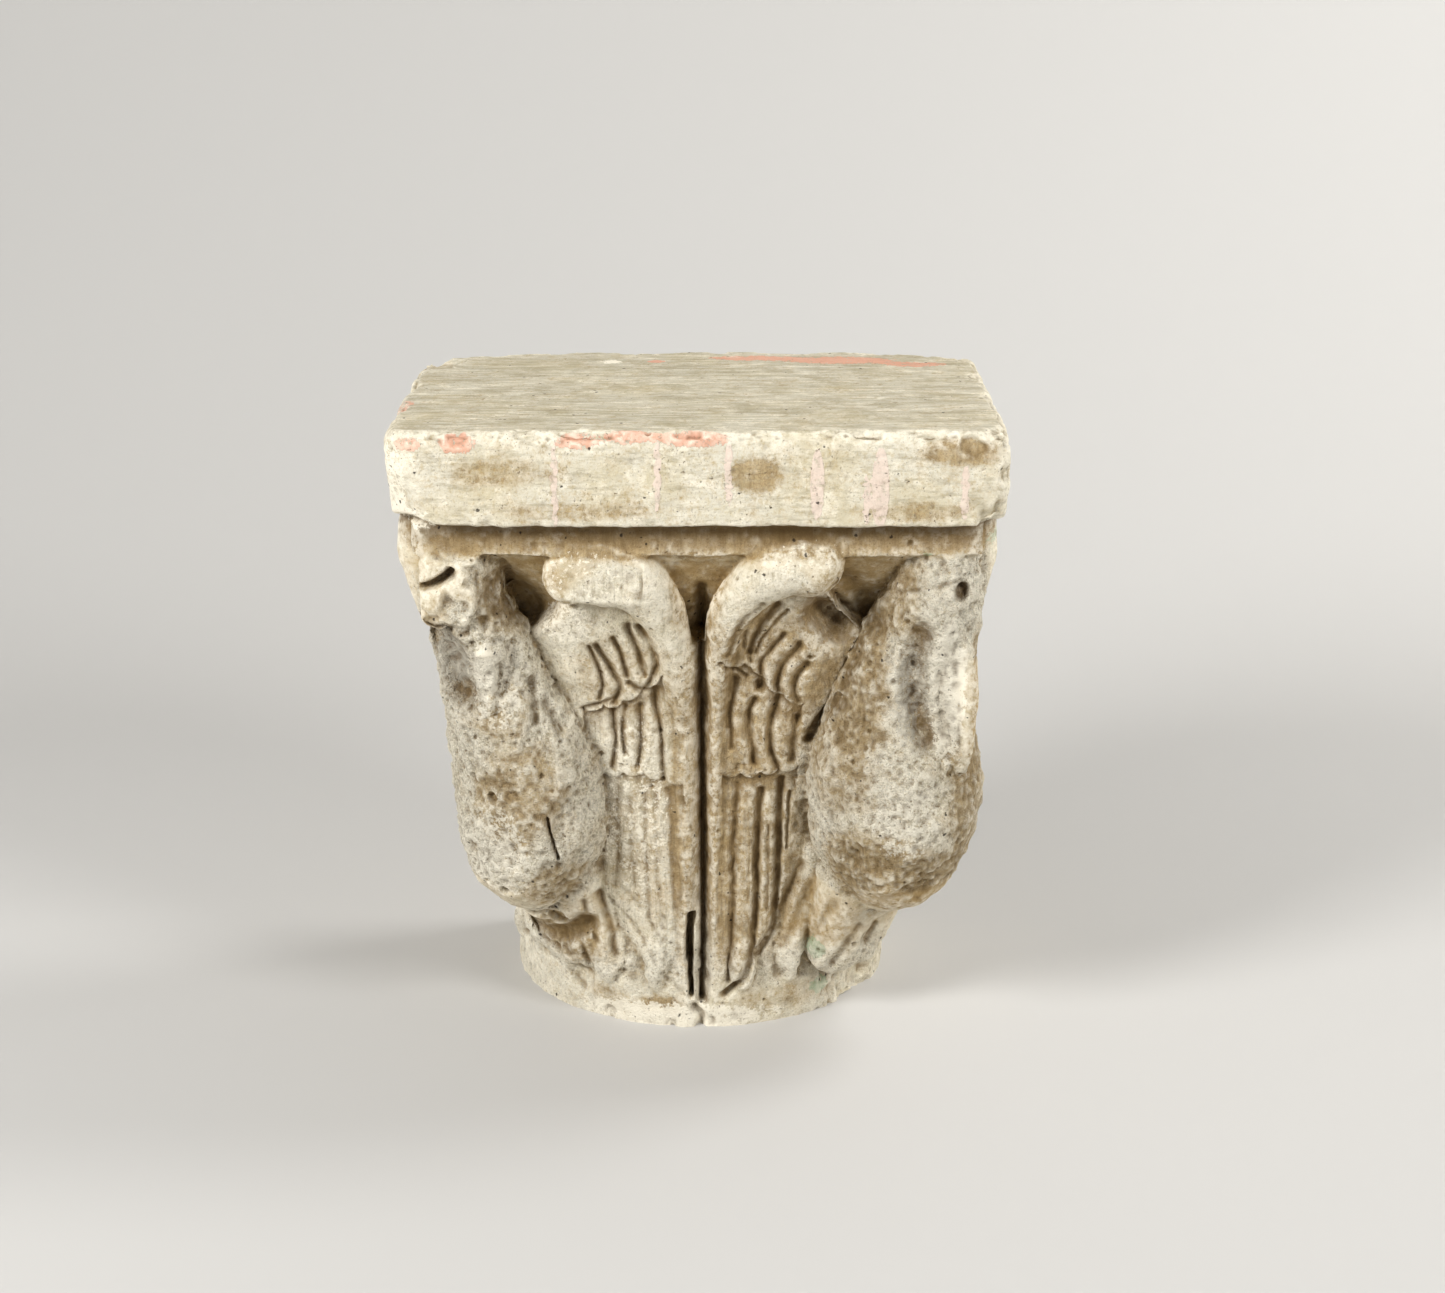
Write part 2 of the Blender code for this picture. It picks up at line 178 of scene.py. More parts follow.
class Grain:
    """Smooth random field in space that is the same at every run."""

    SIDE = 32

    def __init__(self, seed: int) -> None:
        """Fill the lattice from the seed, which tells one field from another."""
        self.lattice = np.random.default_rng(seed).uniform(-1, 1, (self.SIDE,) * 3)

    def at(self, place: Array, size: Any) -> Array:
        """Read the field.

        Args:
            place: Points, one a row.
            size: How long one swell is, in millimetres, or three lengths.

        Returns:
            A value from -1 to 1 for each point.
        """
        scaled = place / np.array(size)
        cell = np.floor(scaled).astype(int)
        share = scaled - cell
        share = share * share * (3 - 2 * share)
        total = np.zeros(len(place))
        for corner in product((0, 1), repeat=3):
            weight = np.prod(np.where(corner, share, 1 - share), axis=1)
            i, j, k = ((cell + corner) % self.SIDE).T
            total += weight * self.lattice[i, j, k]
        return total


def grid_mesh(rings: Sequence[Sequence[Sequence[float]]]) -> bmesh.types.BMesh:
    """Closed body through a stack of rings, with a flat cap at each end.

    Args:
        rings: Rings of as many points each, in millimetres.

    Returns:
        The body, in metres.
    """
    rows, columns = len(rings), len(rings[0])
    body = bmesh.new()
    verts = [body.verts.new(Vector(point) * MM) for ring in rings for point in ring]
    for row in range(rows - 1):
        for column in range(columns):
            after = (column + 1) % columns
            body.faces.new((verts[row * columns + column], verts[row * columns + after],
                            verts[(row + 1) * columns + after], verts[(row + 1) * columns + column]))
    body.faces.new(verts[:columns][::-1])
    body.faces.new(verts[-columns:])
    bmesh.ops.recalc_face_normals(body, faces=body.faces)
    return body


def tube(stations: Line, outward: Sequence[float], sides: int = 24, per_span: int = 6) -> bmesh.types.BMesh:
    """Round-ended tube of changing width.

    Args:
        stations: Rows of x, y, z, half width across and half depth outward.
        outward: The direction that depth is measured in.
        sides: Points round the tube.
        per_span: Rings between two stations.

    Returns:
        The tube, in metres.
    """
    line = through(stations, per_span)
    path, radii = line[:, :3], np.maximum(line[:, 3:], 0.5)
    tangents = np.gradient(path, axis=0)
    last = len(path) - 1
    turns = [radians(a) for a in (80, 60, 40, 20)]
    order = [(0, -a) for a in turns] + [(i, 0.0) for i in range(last + 1)]
    order += [(last, a) for a in reversed(turns)]
    rings = []
    for index, angle in order:
        tangent = Vector(tangents[index]).normalized()
        out = Vector(outward)
        out = (out - tangent * out.dot(tangent)).normalized()
        across = tangent.cross(out)
        wide, deep = radii[index] * cos(angle)
        centre = Vector(path[index]) + tangent * min(radii[index]) * sin(angle)
        rings.append([centre + across * wide * cos(t) + out * deep * sin(t)
                      for t in np.arange(sides) * 2 * pi / sides])
    return grid_mesh(rings)


def slab(outline: Line, low: float, high: float, upper_round: float,
         lower_round: float) -> bmesh.types.BMesh:
    """Block with its upper and lower edges rounded off.

    Args:
        outline: Corners in plan.
        low: Height of its foot.
        high: Height of its top.
        upper_round: Rounding of the top's edges.
        lower_round: Rounding of the foot's edges.

    Returns:
        The slab, in metres.
    """
    body = bmesh.new()
    face = body.faces.new([body.verts.new(Vector((x, y, low)) * MM) for x, y in outline])
    raised = bmesh.ops.extrude_face_region(body, geom=[face])["geom"]
    lift = Vector((0, 0, high - low)) * MM
    bmesh.ops.translate(body, vec=lift, verts=[g for g in raised if isinstance(g, bmesh.types.BMVert)])
    bmesh.ops.recalc_face_normals(body, faces=body.faces)
    for level, round_off in ((high, upper_round), (low, lower_round)):
        flat = [e for e in body.edges if all(abs(v.co.z - level * MM) < MM / 100 for v in e.verts)]
        bmesh.ops.bevel(body, geom=flat, offset=round_off * MM, segments=5, profile=0.5, affect="EDGES")
    return body


def rounded_outline(corners: Line) -> list[Vector]:
    """Outline with its corners turned into arcs.

    Args:
        corners: Rows of x, y and radius.

    Returns:
        The outline's points.
    """
    points = []
    for i, (x, y, radius) in enumerate(corners):
        here = Vector((x, y))
        before = (Vector(corners[i - 1][:2]) - here).normalized()
        after = (Vector(corners[(i + 1) % len(corners)][:2]) - here).normalized()
        half = before.angle(after) / 2
        centre = here + (before + after).normalized() * radius / sin(half)
        start = here + before * radius / np.tan(half) - centre
        for t in np.linspace(0, pi - 2 * half, 9):
            points.append(centre + Matrix.Rotation(t, 2) @ start)
    return points


def on_front(side: int, stations: Line) -> list[tuple[float, ...]]:
    """Set rows of distance from the centre line, out, height and sizes on half the front."""
    return [(side * s, -out, z, *rest) for s, out, z, *rest in stations]


def on_flank(side: int, stations: Line) -> list[tuple[float, ...]]:
    """Set the same rows on the flank across the corner, as x, y, z and sizes."""
    return [(side * out, -s, z, *rest) for s, out, z, *rest in stations]


@dataclass(frozen=True)
class Stroke:
    """One groove, crack or hollow cut along a line.

    Args:
        line: Its points, as x across the face and height.
        half_width: Half its width at about a third of its depth.
        depth: How deep it goes.
        steepness: 2 for a rounded groove, more for one with upright sides.
    """

    line: Line
    half_width: float
    depth: float
    steepness: float

    def at(self, across: Array, height: Array) -> Array:
        """Depth of the cut at each point of its face.

        Args:
            across: Distance across the face.
            height: Height of each point.

        Returns:
            The depths.
        """
        line = through(self.line, 5) if len(self.line) > 2 else np.array(self.line, float)
        margin = 3 * self.half_width
        near = ((across > line[:, 0].min() - margin) & (across < line[:, 0].max() + margin)
                & (height > line[:, 1].min() - margin) & (height < line[:, 1].max() + margin))
        depth = np.zeros(across.shape)
        share = distance_to_line(across[near], height[near], line) / self.half_width
        depth[near] = self.depth * np.exp(-share ** self.steepness)
        return depth


def strokes(*rows: Sequence[Any]) -> tuple[Stroke, ...]:
    """Make strokes from rows of half width, depth, steepness and the points of a line."""
    return tuple(Stroke(row[3:], *row[:3]) for row in rows)


@dataclass(frozen=True)
class Step:
    """Edge of a row of feathers, which lies over the next row.

    Args:
        edge: The edge, as x across the face and height, from the lower x to the higher.
        rise: How far it stands over what is below.
        reach: How far below the edge the next row has come up again.
        feathers: How many rounded tips the edge has.
        droop: How far each tip hangs down.
    """

    edge: Line
    rise: float = 2.2
    reach: float = 26.0
    feathers: int = 4
    droop: float = 3.0

    def at(self, across: Array, height: Array) -> Array:
        """Depth below the row at each point of the face.

        Args:
            across: Distance across the face.
            height: Height of each point.

        Returns:
            The depths.
        """
        places, levels = zip(*sorted(self.edge))
        share = (across - places[0]) / (places[-1] - places[0])
        tips = self.droop * np.abs(np.sin(pi * self.feathers * share)) ** 0.7
        below = np.interp(across, places, levels) - tips - height
        over = (across > places[0]) & (across < places[-1])
        return np.where(over, self.rise * ease(below / 1.4) * (1 - ease(below / self.reach)), 0)


@dataclass(frozen=True)
class Dent:
    """Pit, chip or lump that pulls the skin in (or pushes it out) round one point.

    Args:
        place: Its middle, x, y and z.
        reach: How far from the middle it is felt.
        depth: How deep it is, negative for a lump.
        rough: Share of its reach by which its rim wanders.
    """

    place: Sequence[float]
    reach: float
    depth: float
    rough: float = 0.35

    def at(self, place: Array, grain: Array) -> Array:
        """Depth of the dent at each point, with its rim broken by the grain there."""
        apart = np.linalg.norm(place - np.array(self.place), axis=1) / self.reach
        return self.depth * ease((1 - apart + self.rough * grain * (apart < 1.5)) / 0.6)


@dataclass(frozen=True)
class Patch:
    """Stain or flake of paint.

    Args:
        place: Its middle, x, y and z.
        half_sizes: Half its sizes along x, y and z.
        strength: How fully it covers, from 0 to 1.
    """

    place: Sequence[float]
    half_sizes: Sequence[float]
    strength: float = 1.0

    def at(self, place: Array) -> Array:
        """How strongly the patch shows at each point, from 0 to 1."""
        apart = np.linalg.norm((place - np.array(self.place)) / np.array(self.half_sizes), axis=1)
        return self.strength * ease((1.35 - apart) / 0.7)


@dataclass(frozen=True)
class Bell:
    """Bell that turns from a round foot into a square top, with the wings' faces raised on it."""

    half_width: Line = ((-4, 107), (2, 108), (RING_HEIGHT - 4, 108), (RING_HEIGHT + 3, 106), (50, 104),
                        (100, 101), (150, 101), (200, 104), (235, 112), (255, 121), (270, 130),
                        (280, 138), (FILLET_FOOT, 144))
    wing_face: Line = ((-4, 107), (60, 108), (100, 110), (150, 114), (200, 122), (225, 128),
                       (250, 136), (275, 143), (FILLET_FOOT, 145))
    squareness: Line = ((0, 2.0), (40, 2.1), (120, 2.7), (200, 3.6), (260, 5.0), (FILLET_FOOT, 9.0))
    wing: Line = ((-9, 8), (-9, 232), (4, 236), (9, 252), (22, 276), (48, 282), (70, 262), (76, 250),
                  (92, 238), (98, 220), (96, 180), (88, 110), (58, 88), (49, 68), (38, 46), (25, 27),
                  (14, 12))
    softness: float = 6.0
    wing_back: float = 5.0
    columns: int = 360
    rows: int = 190

    def bodies(self) -> list[bmesh.types.BMesh]:
        """Make the bell.

        Returns:
            The bell as one closed body.
        """
        angles = np.arange(self.columns) * 2 * pi / self.columns
        rings = []
        for height in np.linspace(self.half_width[0][0], FILLET_FOOT + 6, self.rows):
            power = profile(self.squareness, height)
            plain = (np.abs(np.cos(angles)) ** power + np.abs(np.sin(angles)) ** power) ** (-1 / power)
            x = plain * np.cos(angles) * profile(self.half_width, height)
            y = plain * np.sin(angles) * profile(self.half_width, height)
            lift = profile(self.wing_face, height) - profile(self.half_width, height)
            level = np.full(self.columns, height)
            front = np.abs(y) > np.abs(x)
            along = np.where(front, np.abs(x), np.abs(y))
            raised = ease(distance_inside(along, level, self.wing) / self.softness + 0.2) * lift
            raised *= np.where(front, y < 0, y < self.wing_back)
            x += np.where(front, 0, np.sign(x) * raised)
            y += np.where(front, np.sign(y) * raised, 0)
            rings.append(list(zip(x, y, level)))
        return [grid_mesh(rings)]


@dataclass(frozen=True)
class Abacus:
    """Slab with rounded, worn edges, and the fillet below it."""

    left_corner: float = 17.0
    right_corner: float = 8.0
    fillet_step: float = 12.0
    upper_wear: float = 6.0
    lower_wear: float = 2.5
    spare: float = 0.9
    behind: float = BACK + 12

    def bodies(self) -> list[bmesh.types.BMesh]:
        """Make the slab and the fillet.

        Returns:
            Two closed bodies.
        """
        step = FRONT - self.fillet_step
        top = rounded_outline(((-FRONT, -FRONT, self.left_corner), (FRONT, -FRONT, self.right_corner),
                               (FRONT - 1, self.behind, 3), (-FRONT, self.behind, 3)))
        inner = rounded_outline(((-step, -step, 8), (step, -step, 5), (step, self.behind, 3),
                                 (-step, self.behind, 3)))
        return [slab(top, ABACUS_FOOT, HEIGHT + self.spare, self.upper_wear, self.lower_wear),
                slab(inner, FILLET_FOOT, ABACUS_FOOT + 9, 1.0, 1.5)]


@dataclass(frozen=True)
class Wings:
    """Leading edges of the wings, each curled over into a round wrist at its top."""

    right: Line = ((7, 101, 14, 4, 5), (7.5, 103, 60, 4.5, 6), (9, 110, 160, 6, 8), (10, 116, 200, 7, 10),
                   (12, 124, 228, 9, 11), (18, 133, 252, 12, 12), (31, 140, 270, 14, 14),
                   (47, 142, 280, 16, 15), (62, 142, 279, 16.5, 14))
    left: Line = ((6, 101, 14, 4, 5), (6.5, 103, 60, 4.5, 6), (8, 110, 160, 7, 7.5), (9, 116, 198, 8.5, 9),
                  (13, 124, 226, 11, 10), (20, 132, 252, 13, 12), (33, 139, 270, 16.5, 13),
                  (50, 142, 276, 18.5, 12), (69, 141, 273, 14, 11))
    flank_top: Line = ((31, 141, 270, 14, 14), (50, 144, 280, 15.5, 15), (72, 145, 279, 16, 14),
                       (84, 144, 274, 14, 13))

    def bodies(self) -> list[bmesh.types.BMesh]:
        """Make the four leading edges, each a closed body."""
        flank = (*self.right[:6], *self.flank_top)
        return [tube(on_front(1, self.right), (0, -1, 0)), tube(on_front(-1, self.left), (0, -1, 0)),
                tube(on_flank(1, flank), (1, 0, 0)), tube(on_flank(-1, flank), (-1, 0, 0))]


@dataclass(frozen=True)
class Bird:
    """One corner bird.

    Args:
        side: 1 for the right corner and -1 for the left.
        figure: From tail to crown: across, out, height, half width and half depth.
        beak: The beak, laid down over the neck, as rows of the same kind.
    """

    side: int
    figure: Line
    beak: Line
    thighs: Line = (((-14, -2), (-20, -10), (-26, -14)), ((-2, -14), (-8, -22), (-14, -26)))
    thigh_levels: Line = ((92, 24, 20), (66, 22, 18), (40, 18, 14))
    toe: Line = ((86, 60, 12), (99, 50, 11), (106, 36, 8), (107, 27, 5))
    toe_turns: Sequence[float] = (-32, -17, -2, 13, 28)
    tail: Line = ((64, 98, 104, 8), (57, 97, 82, 9), (54, 96, 62, 8), (53, 96, 42, 6))
    tail_depth: float = 5.0
    cheek: Line = ((145, 296, 13), (144, 282, 14), (140, 262, 13), (133, 243, 12), (127, 222, 10))
    cheek_out: float = 117.0

    def bodies(self) -> list[bmesh.types.BMesh]:
        """Make the bird.

        Returns:
            Its body, beak, thighs, toes, tail and the strip behind its neck.
        """
        side, out = self.side, (self.side, -1, 0)
        made = [tube(on_front(side, self.figure), out, sides=48), tube(on_front(side, self.beak), out)]
        across, deep = self.figure[2][:2]
        for thigh in self.thighs:
            leg = [(across + s, deep + d, *level) for (s, d), level in zip(thigh, self.thigh_levels)]
            made.append(tube(on_front(side, leg), out))
        for turn in self.toe_turns:
            a = radians(45 + turn)
            toe = [(r * sin(a), r * cos(a), z, w, w) for r, z, w in self.toe]
            made.append(tube(on_front(side, toe), out))
        tail = [(s, d, z, w, self.tail_depth) for s, d, z, w in self.tail]
        made += [tube(on_front(side, tail), (0, -1, 0)), tube(on_flank(side, tail), (side, 0, 0))]
        made.append(tube([(side * x, -self.cheek_out, z, w, w) for x, z, w in self.cheek], (side, 0, 0)))
        return made

    def near(self, place: Array) -> Array:
        """How far inside the bird's outline each point lies.

        Args:
            place: Points, one a row.

        Returns:
            Distances over the figure's own radius, 1 on its skin.
        """
        heights = [row[2] for row in self.figure]
        across, out, wide = (np.interp(place[:, 2], heights, [row[k] for row in self.figure])
                             for k in (0, 1, 3))
        reach = np.hypot(place[:, 0] - self.side * across, place[:, 1] + out) / wide
        return np.where((place[:, 2] > heights[0] - 4) & (place[:, 2] < FILLET_FOOT), reach, 9.0)


RIGHT_BIRD = Bird(
    side=1,
    figure=((96, 96, 76, 14, 14), (99, 99, 86, 26, 26), (102, 102, 98, 36, 36), (104, 104, 115, 43, 43),
            (106, 106, 135, 47, 47), (107, 107, 158, 47, 46), (110, 110, 198, 39, 36),
            (113, 113, 216, 35, 32), (124, 124, 252, 27, 26), (129, 129, 284, 19, 20)),
    beak=((130, 130, 250, 12, 14), (136, 136, 212, 10, 13), (138, 138, 192, 8.5, 11),
          (138, 138, 174, 6, 8), (137, 137, 164, 3, 5)),
)
LEFT_BIRD = Bird(
    side=-1,
    figure=((86, 90, 74, 15, 15), (88, 92, 84, 27, 27), (90, 94, 98, 35, 36), (91, 96, 118, 41, 41),
            (92, 97, 140, 42, 42), (95, 99, 160, 41, 40), (107, 108, 196, 32, 31),
            (112, 113, 215, 29, 28), (121, 124, 255, 23, 23), (122, 127, 284, 20, 20)),
    beak=((112, 133, 236, 6, 8), (110, 131, 222, 7, 9), (110, 128, 208, 6, 8), (111, 125, 199, 3, 5)),
)


@dataclass(frozen=True)
class WornHead:
    """Block that the left bird's head is worn to."""

    corners: Line = ((-144, -150, 7), (-110, -152, 8), (-110, -116, 4), (-144, -116, 4))
    foot: float = 247.0
    rounding: float = 6.0

    def bodies(self) -> list[bmesh.types.BMesh]:
        """Make the block, one closed body."""
        return [slab(rounded_outline(self.corners), self.foot, FILLET_FOOT + 2, self.rounding,
                     self.rounding)]


class Carving:
    """Everything cut into the plaster with a tool, feather by feather.

    The right wing and breast are cut once more on each flank, across the corner.
    """

    RIGHT_WING = strokes(
        (1.7, 2.4, 2, (34, 259), (22, 246), (16, 228)), (1.1, 1.6, 2, (25, 241), (24, 232), (28, 222)),
        (2.1, 3.7, 2, (42, 257), (32, 242), (27, 227)), (1.1, 2.4, 2, (47, 253), (35, 238), (30, 227)),
        (1.8, 3.3, 2, (45, 238), (37, 227), (33, 218), (34, 210)),
        (2.2, 4.0, 2, (54, 231), (45, 220), (42, 209), (43, 203)),
        (2.0, 3.5, 2, (58, 220), (53, 213), (51, 203), (53, 197)), (1.2, 2.4, 2, (14, 220), (26, 213)),
        (2.6, 4.5, 3, (33, 208), (33, 206)), (1.8, 2.9, 2, (20, 211), (17, 190), (18, 170)),
        (2.1, 3.7, 2, (30, 198), (27, 187), (29, 169), (30, 160)),
        (2.2, 4.0, 2, (43, 200), (39, 183), (39, 169), (43, 157)),
        (2.0, 3.3, 2, (53, 187), (51, 172), (51, 161)),
        (2.0, 2.8, 2, (21, 147), (19, 110), (18, 50), (16, 28)),
        (2.2, 4.4, 2.6, (34, 143), (32, 110), (31, 64), (28, 41), (23, 28), (14, 20)),
        (2.1, 4.6, 2.6, (45, 149), (44, 111), (43, 78), (41, 59), (32, 43)),
        (0.9, 1.8, 2, (50, 141), (48, 107)), (0.9, 0.8, 2, (28, 118), (27, 76)),
        (0.9, 0.9, 2, (38, 122), (38, 70)),
    )
    RIGHT_BREAST = strokes(
        (2.2, 3.5, 2, (86, 233), (77, 205)), (3.0, 6.5, 2.6, (77, 201), (67, 188), (60, 174)),
    )
    RIGHT_STEPS = (
        Step(((14, 221), (28, 222), (38, 208), (56, 196))),
        Step(((13, 155), (30, 155), (54, 158))),
    )
    RIGHT_BODY = strokes(
        (6, 7.5, 2, (117, 243), (113, 224), (114, 204), (121, 184)), (8.5, 21, 2, (66, 250), (73, 243)),
        (7, 5, 2, (76, 268), (86, 258), (90, 246)), (2.6, 1.0, 2, (134, 236), (137, 206), (137, 178)),
        (3.4, 8, 3, (137, 267), (137, 264.5)), (1.4, 1.6, 2, (104, 263), (118, 268), (136, 272)),
        (2.6, 2.6, 2, (57, 96), (50, 80), (43, 64)), (3.0, 1.6, 2, (62, 84), (54, 62), (46, 47)),
        (3.0, 1.8, 2, (74, 78), (66, 60), (58, 46)), (2.8, 2.4, 2, (88, 62), (80, 47), (74, 37)),
        (2.4, 3.5, 2, (98, 58), (93, 46)),
    )
    LEFT_WING = strokes(
        (1.8, 3.3, 2, (-31, 243), (-24, 231), (-21, 220)),
        (2.0, 3.7, 2, (-21, 220), (-29, 205), (-37, 209)),
        (2.0, 3.7, 2, (-37, 243), (-32, 229), (-28, 214)),
        (1.8, 3.5, 2, (-45, 235), (-41, 226), (-38, 213)),
        (2.1, 4.0, 2, (-54, 231), (-45, 214), (-42, 206), (-46, 196)),
        (1.7, 3.1, 2, (-57.5, 230), (-52, 214), (-51, 206), (-53, 198)),
        (1.7, 3.1, 2, (-62, 192), (-53, 195), (-44, 199)),
        (2.0, 3.3, 2, (-23, 206), (-22, 192), (-20, 177), (-19, 151)),
        (2.0, 3.5, 2, (-31, 194), (-31, 174), (-33, 158)),
        (1.7, 2.9, 2, (-39, 194), (-41, 178), (-40, 166)),
        (1.8, 3.3, 2, (-46, 191), (-45, 172), (-47, 157)), (1.8, 1.2, 2, (-16, 144), (-14, 90), (-12, 44)),
        (1.5, 0.8, 2, (-23, 140), (-23, 96), (-20, 60)), (1.8, 1.2, 2, (-29, 141), (-29, 100), (-28, 66)),
        (1.5, 0.7, 2, (-37, 138), (-37, 110), (-36, 80)), (1.8, 1.3, 2, (-44, 144), (-45, 100), (-46, 84)),
        (1.6, 0.9, 2, (-52, 78), (-37, 62), (-21, 34), (-7, 19)),
        (1.4, 0.7, 2, (-47, 88), (-31, 70), (-17, 42)),
    )
    LEFT_STEPS = (
        Step(((-18, 216), (-29, 206), (-45, 196), (-62, 193))),
        Step(((-8, 150), (-32, 156), (-52, 154)), rise=1.8),
    )
    LEFT_BODY = strokes(
        (2.4, 3.2, 2, (-89, 214), (-87, 190)), (2.0, 2.8, 2, (-84, 202), (-74, 182)),
        (10, 6, 2, (-101, 264), (-90, 252)), (2.4, 9, 3, (-141, 269), (-134, 272), (-127, 277)),
        (2.4, 3, 2, (-139, 244), (-129, 240), (-120, 244)),
        (8.5, 13, 2, (-138, 241), (-129, 228), (-124, 208)),
        (3.0, 3, 2, (-99, 236), (-98, 222), (-104, 206)),
        (1.8, 3.0, 2, (-118, 238), (-116, 222), (-114, 206)),
        (2.2, 2.4, 2, (-103, 222), (-105, 208), (-107, 196)),
        (0.9, 4.0, 3, (-81.6, 137), (-80, 128), (-78, 121), (-76.5, 113)),
        (2.4, 3.6, 2, (-56, 80), (-50, 58), (-47, 42)), (2.0, 2.8, 2, (-64, 76), (-62, 62), (-58, 50)),
        (6.5, 9.5, 3, (-100, 50), (-86, 47), (-72, 52), (-64, 60)), (3.0, 4.0, 2, (-90, 40), (-80, 37)),
        (2.4, 3.4, 2, (-88, 52), (-80, 44), (-72, 38)), (2.0, 3.0, 2, (-70, 58), (-66, 44), (-62, 34)),
    )
    MIDDLE = strokes(
        (3.2, 8.5, 2, (2, 262), (2, 240), (2, 180), (2.5, 120), (2.5, 60), (2, 17)),
        (1.4, 12.0, 4, (1.5, 236), (1.8, 150), (2, 60), (1, 16)),
        (2.2, 15.0, 4, (-4.4, 68), (-5.4, 56), (-5.6, 40)),
        (1.5, 12.0, 4, (-5.4, 40), (-4.8, 28), (-4.4, 19)), (2.6, 5.0, 3, (-3, 12), (1, 7), (0, -2)),
        (0.8, 3.0, 3, (5, 84), (5.4, 40), (5, 18)),
    )

    def __init__(self, warp: Grain) -> None:
        """Keep the field that makes the tool's hand unsteady."""
        self.warp = warp

    @staticmethod
    def deepest(cuts: Sequence[Stroke], across: Array, height: Array) -> Array:
        """Depth of the deepest of some strokes at each point of their face."""
        return reduce(np.maximum, (cut.at(across, height) for cut in cuts))

    def depth(self, place: Array, normal: Array) -> tuple[Array, Array]:
        """Depth of all carving.

        Args:
            place: Points, one a row.
            normal: The skin's directions there.

        Returns:
            The depths, and the direction in which each point moves.
        """
        x, _, z = place.T
        below = z < FILLET_FOOT
        unsteady = 0.5 * self.warp.at(place, 6.0)
        width = 1 + 0.35 * self.warp.at(place, (13, 13, 9))
        u, v = x + unsteady, z + 0.6 * self.warp.at(place + 71.0, 7.0)
        wings = self.deepest(self.RIGHT_WING + self.LEFT_WING, u, v)
        wings += sum(step.at(u, v) for step in self.RIGHT_STEPS + self.LEFT_STEPS)
        free = self.deepest(self.RIGHT_BREAST + self.RIGHT_BODY + self.LEFT_BODY + self.MIDDLE, u, v)
        front = ease((-normal[:, 1] - 0.1) / 0.4) * (place[:, 1] < -60) * below
        total = np.maximum(wings * width, free) * front
        move = np.zeros(place.shape)
        move[:, 1] = total
        side_u = -place[:, 1] + unsteady
        flank = self.deepest(self.RIGHT_WING + self.RIGHT_BREAST, side_u, v)
        flank += sum(step.at(side_u, v) for step in self.RIGHT_STEPS)
        for side in (1, -1):
            share = ease((side * normal[:, 0] - 0.1) / 0.4) * (side * x > 60) * (place[:, 1] < 0) * below
            move[:, 0] -= side * flank * share
            total = np.maximum(total, flank * share)
        return total, move


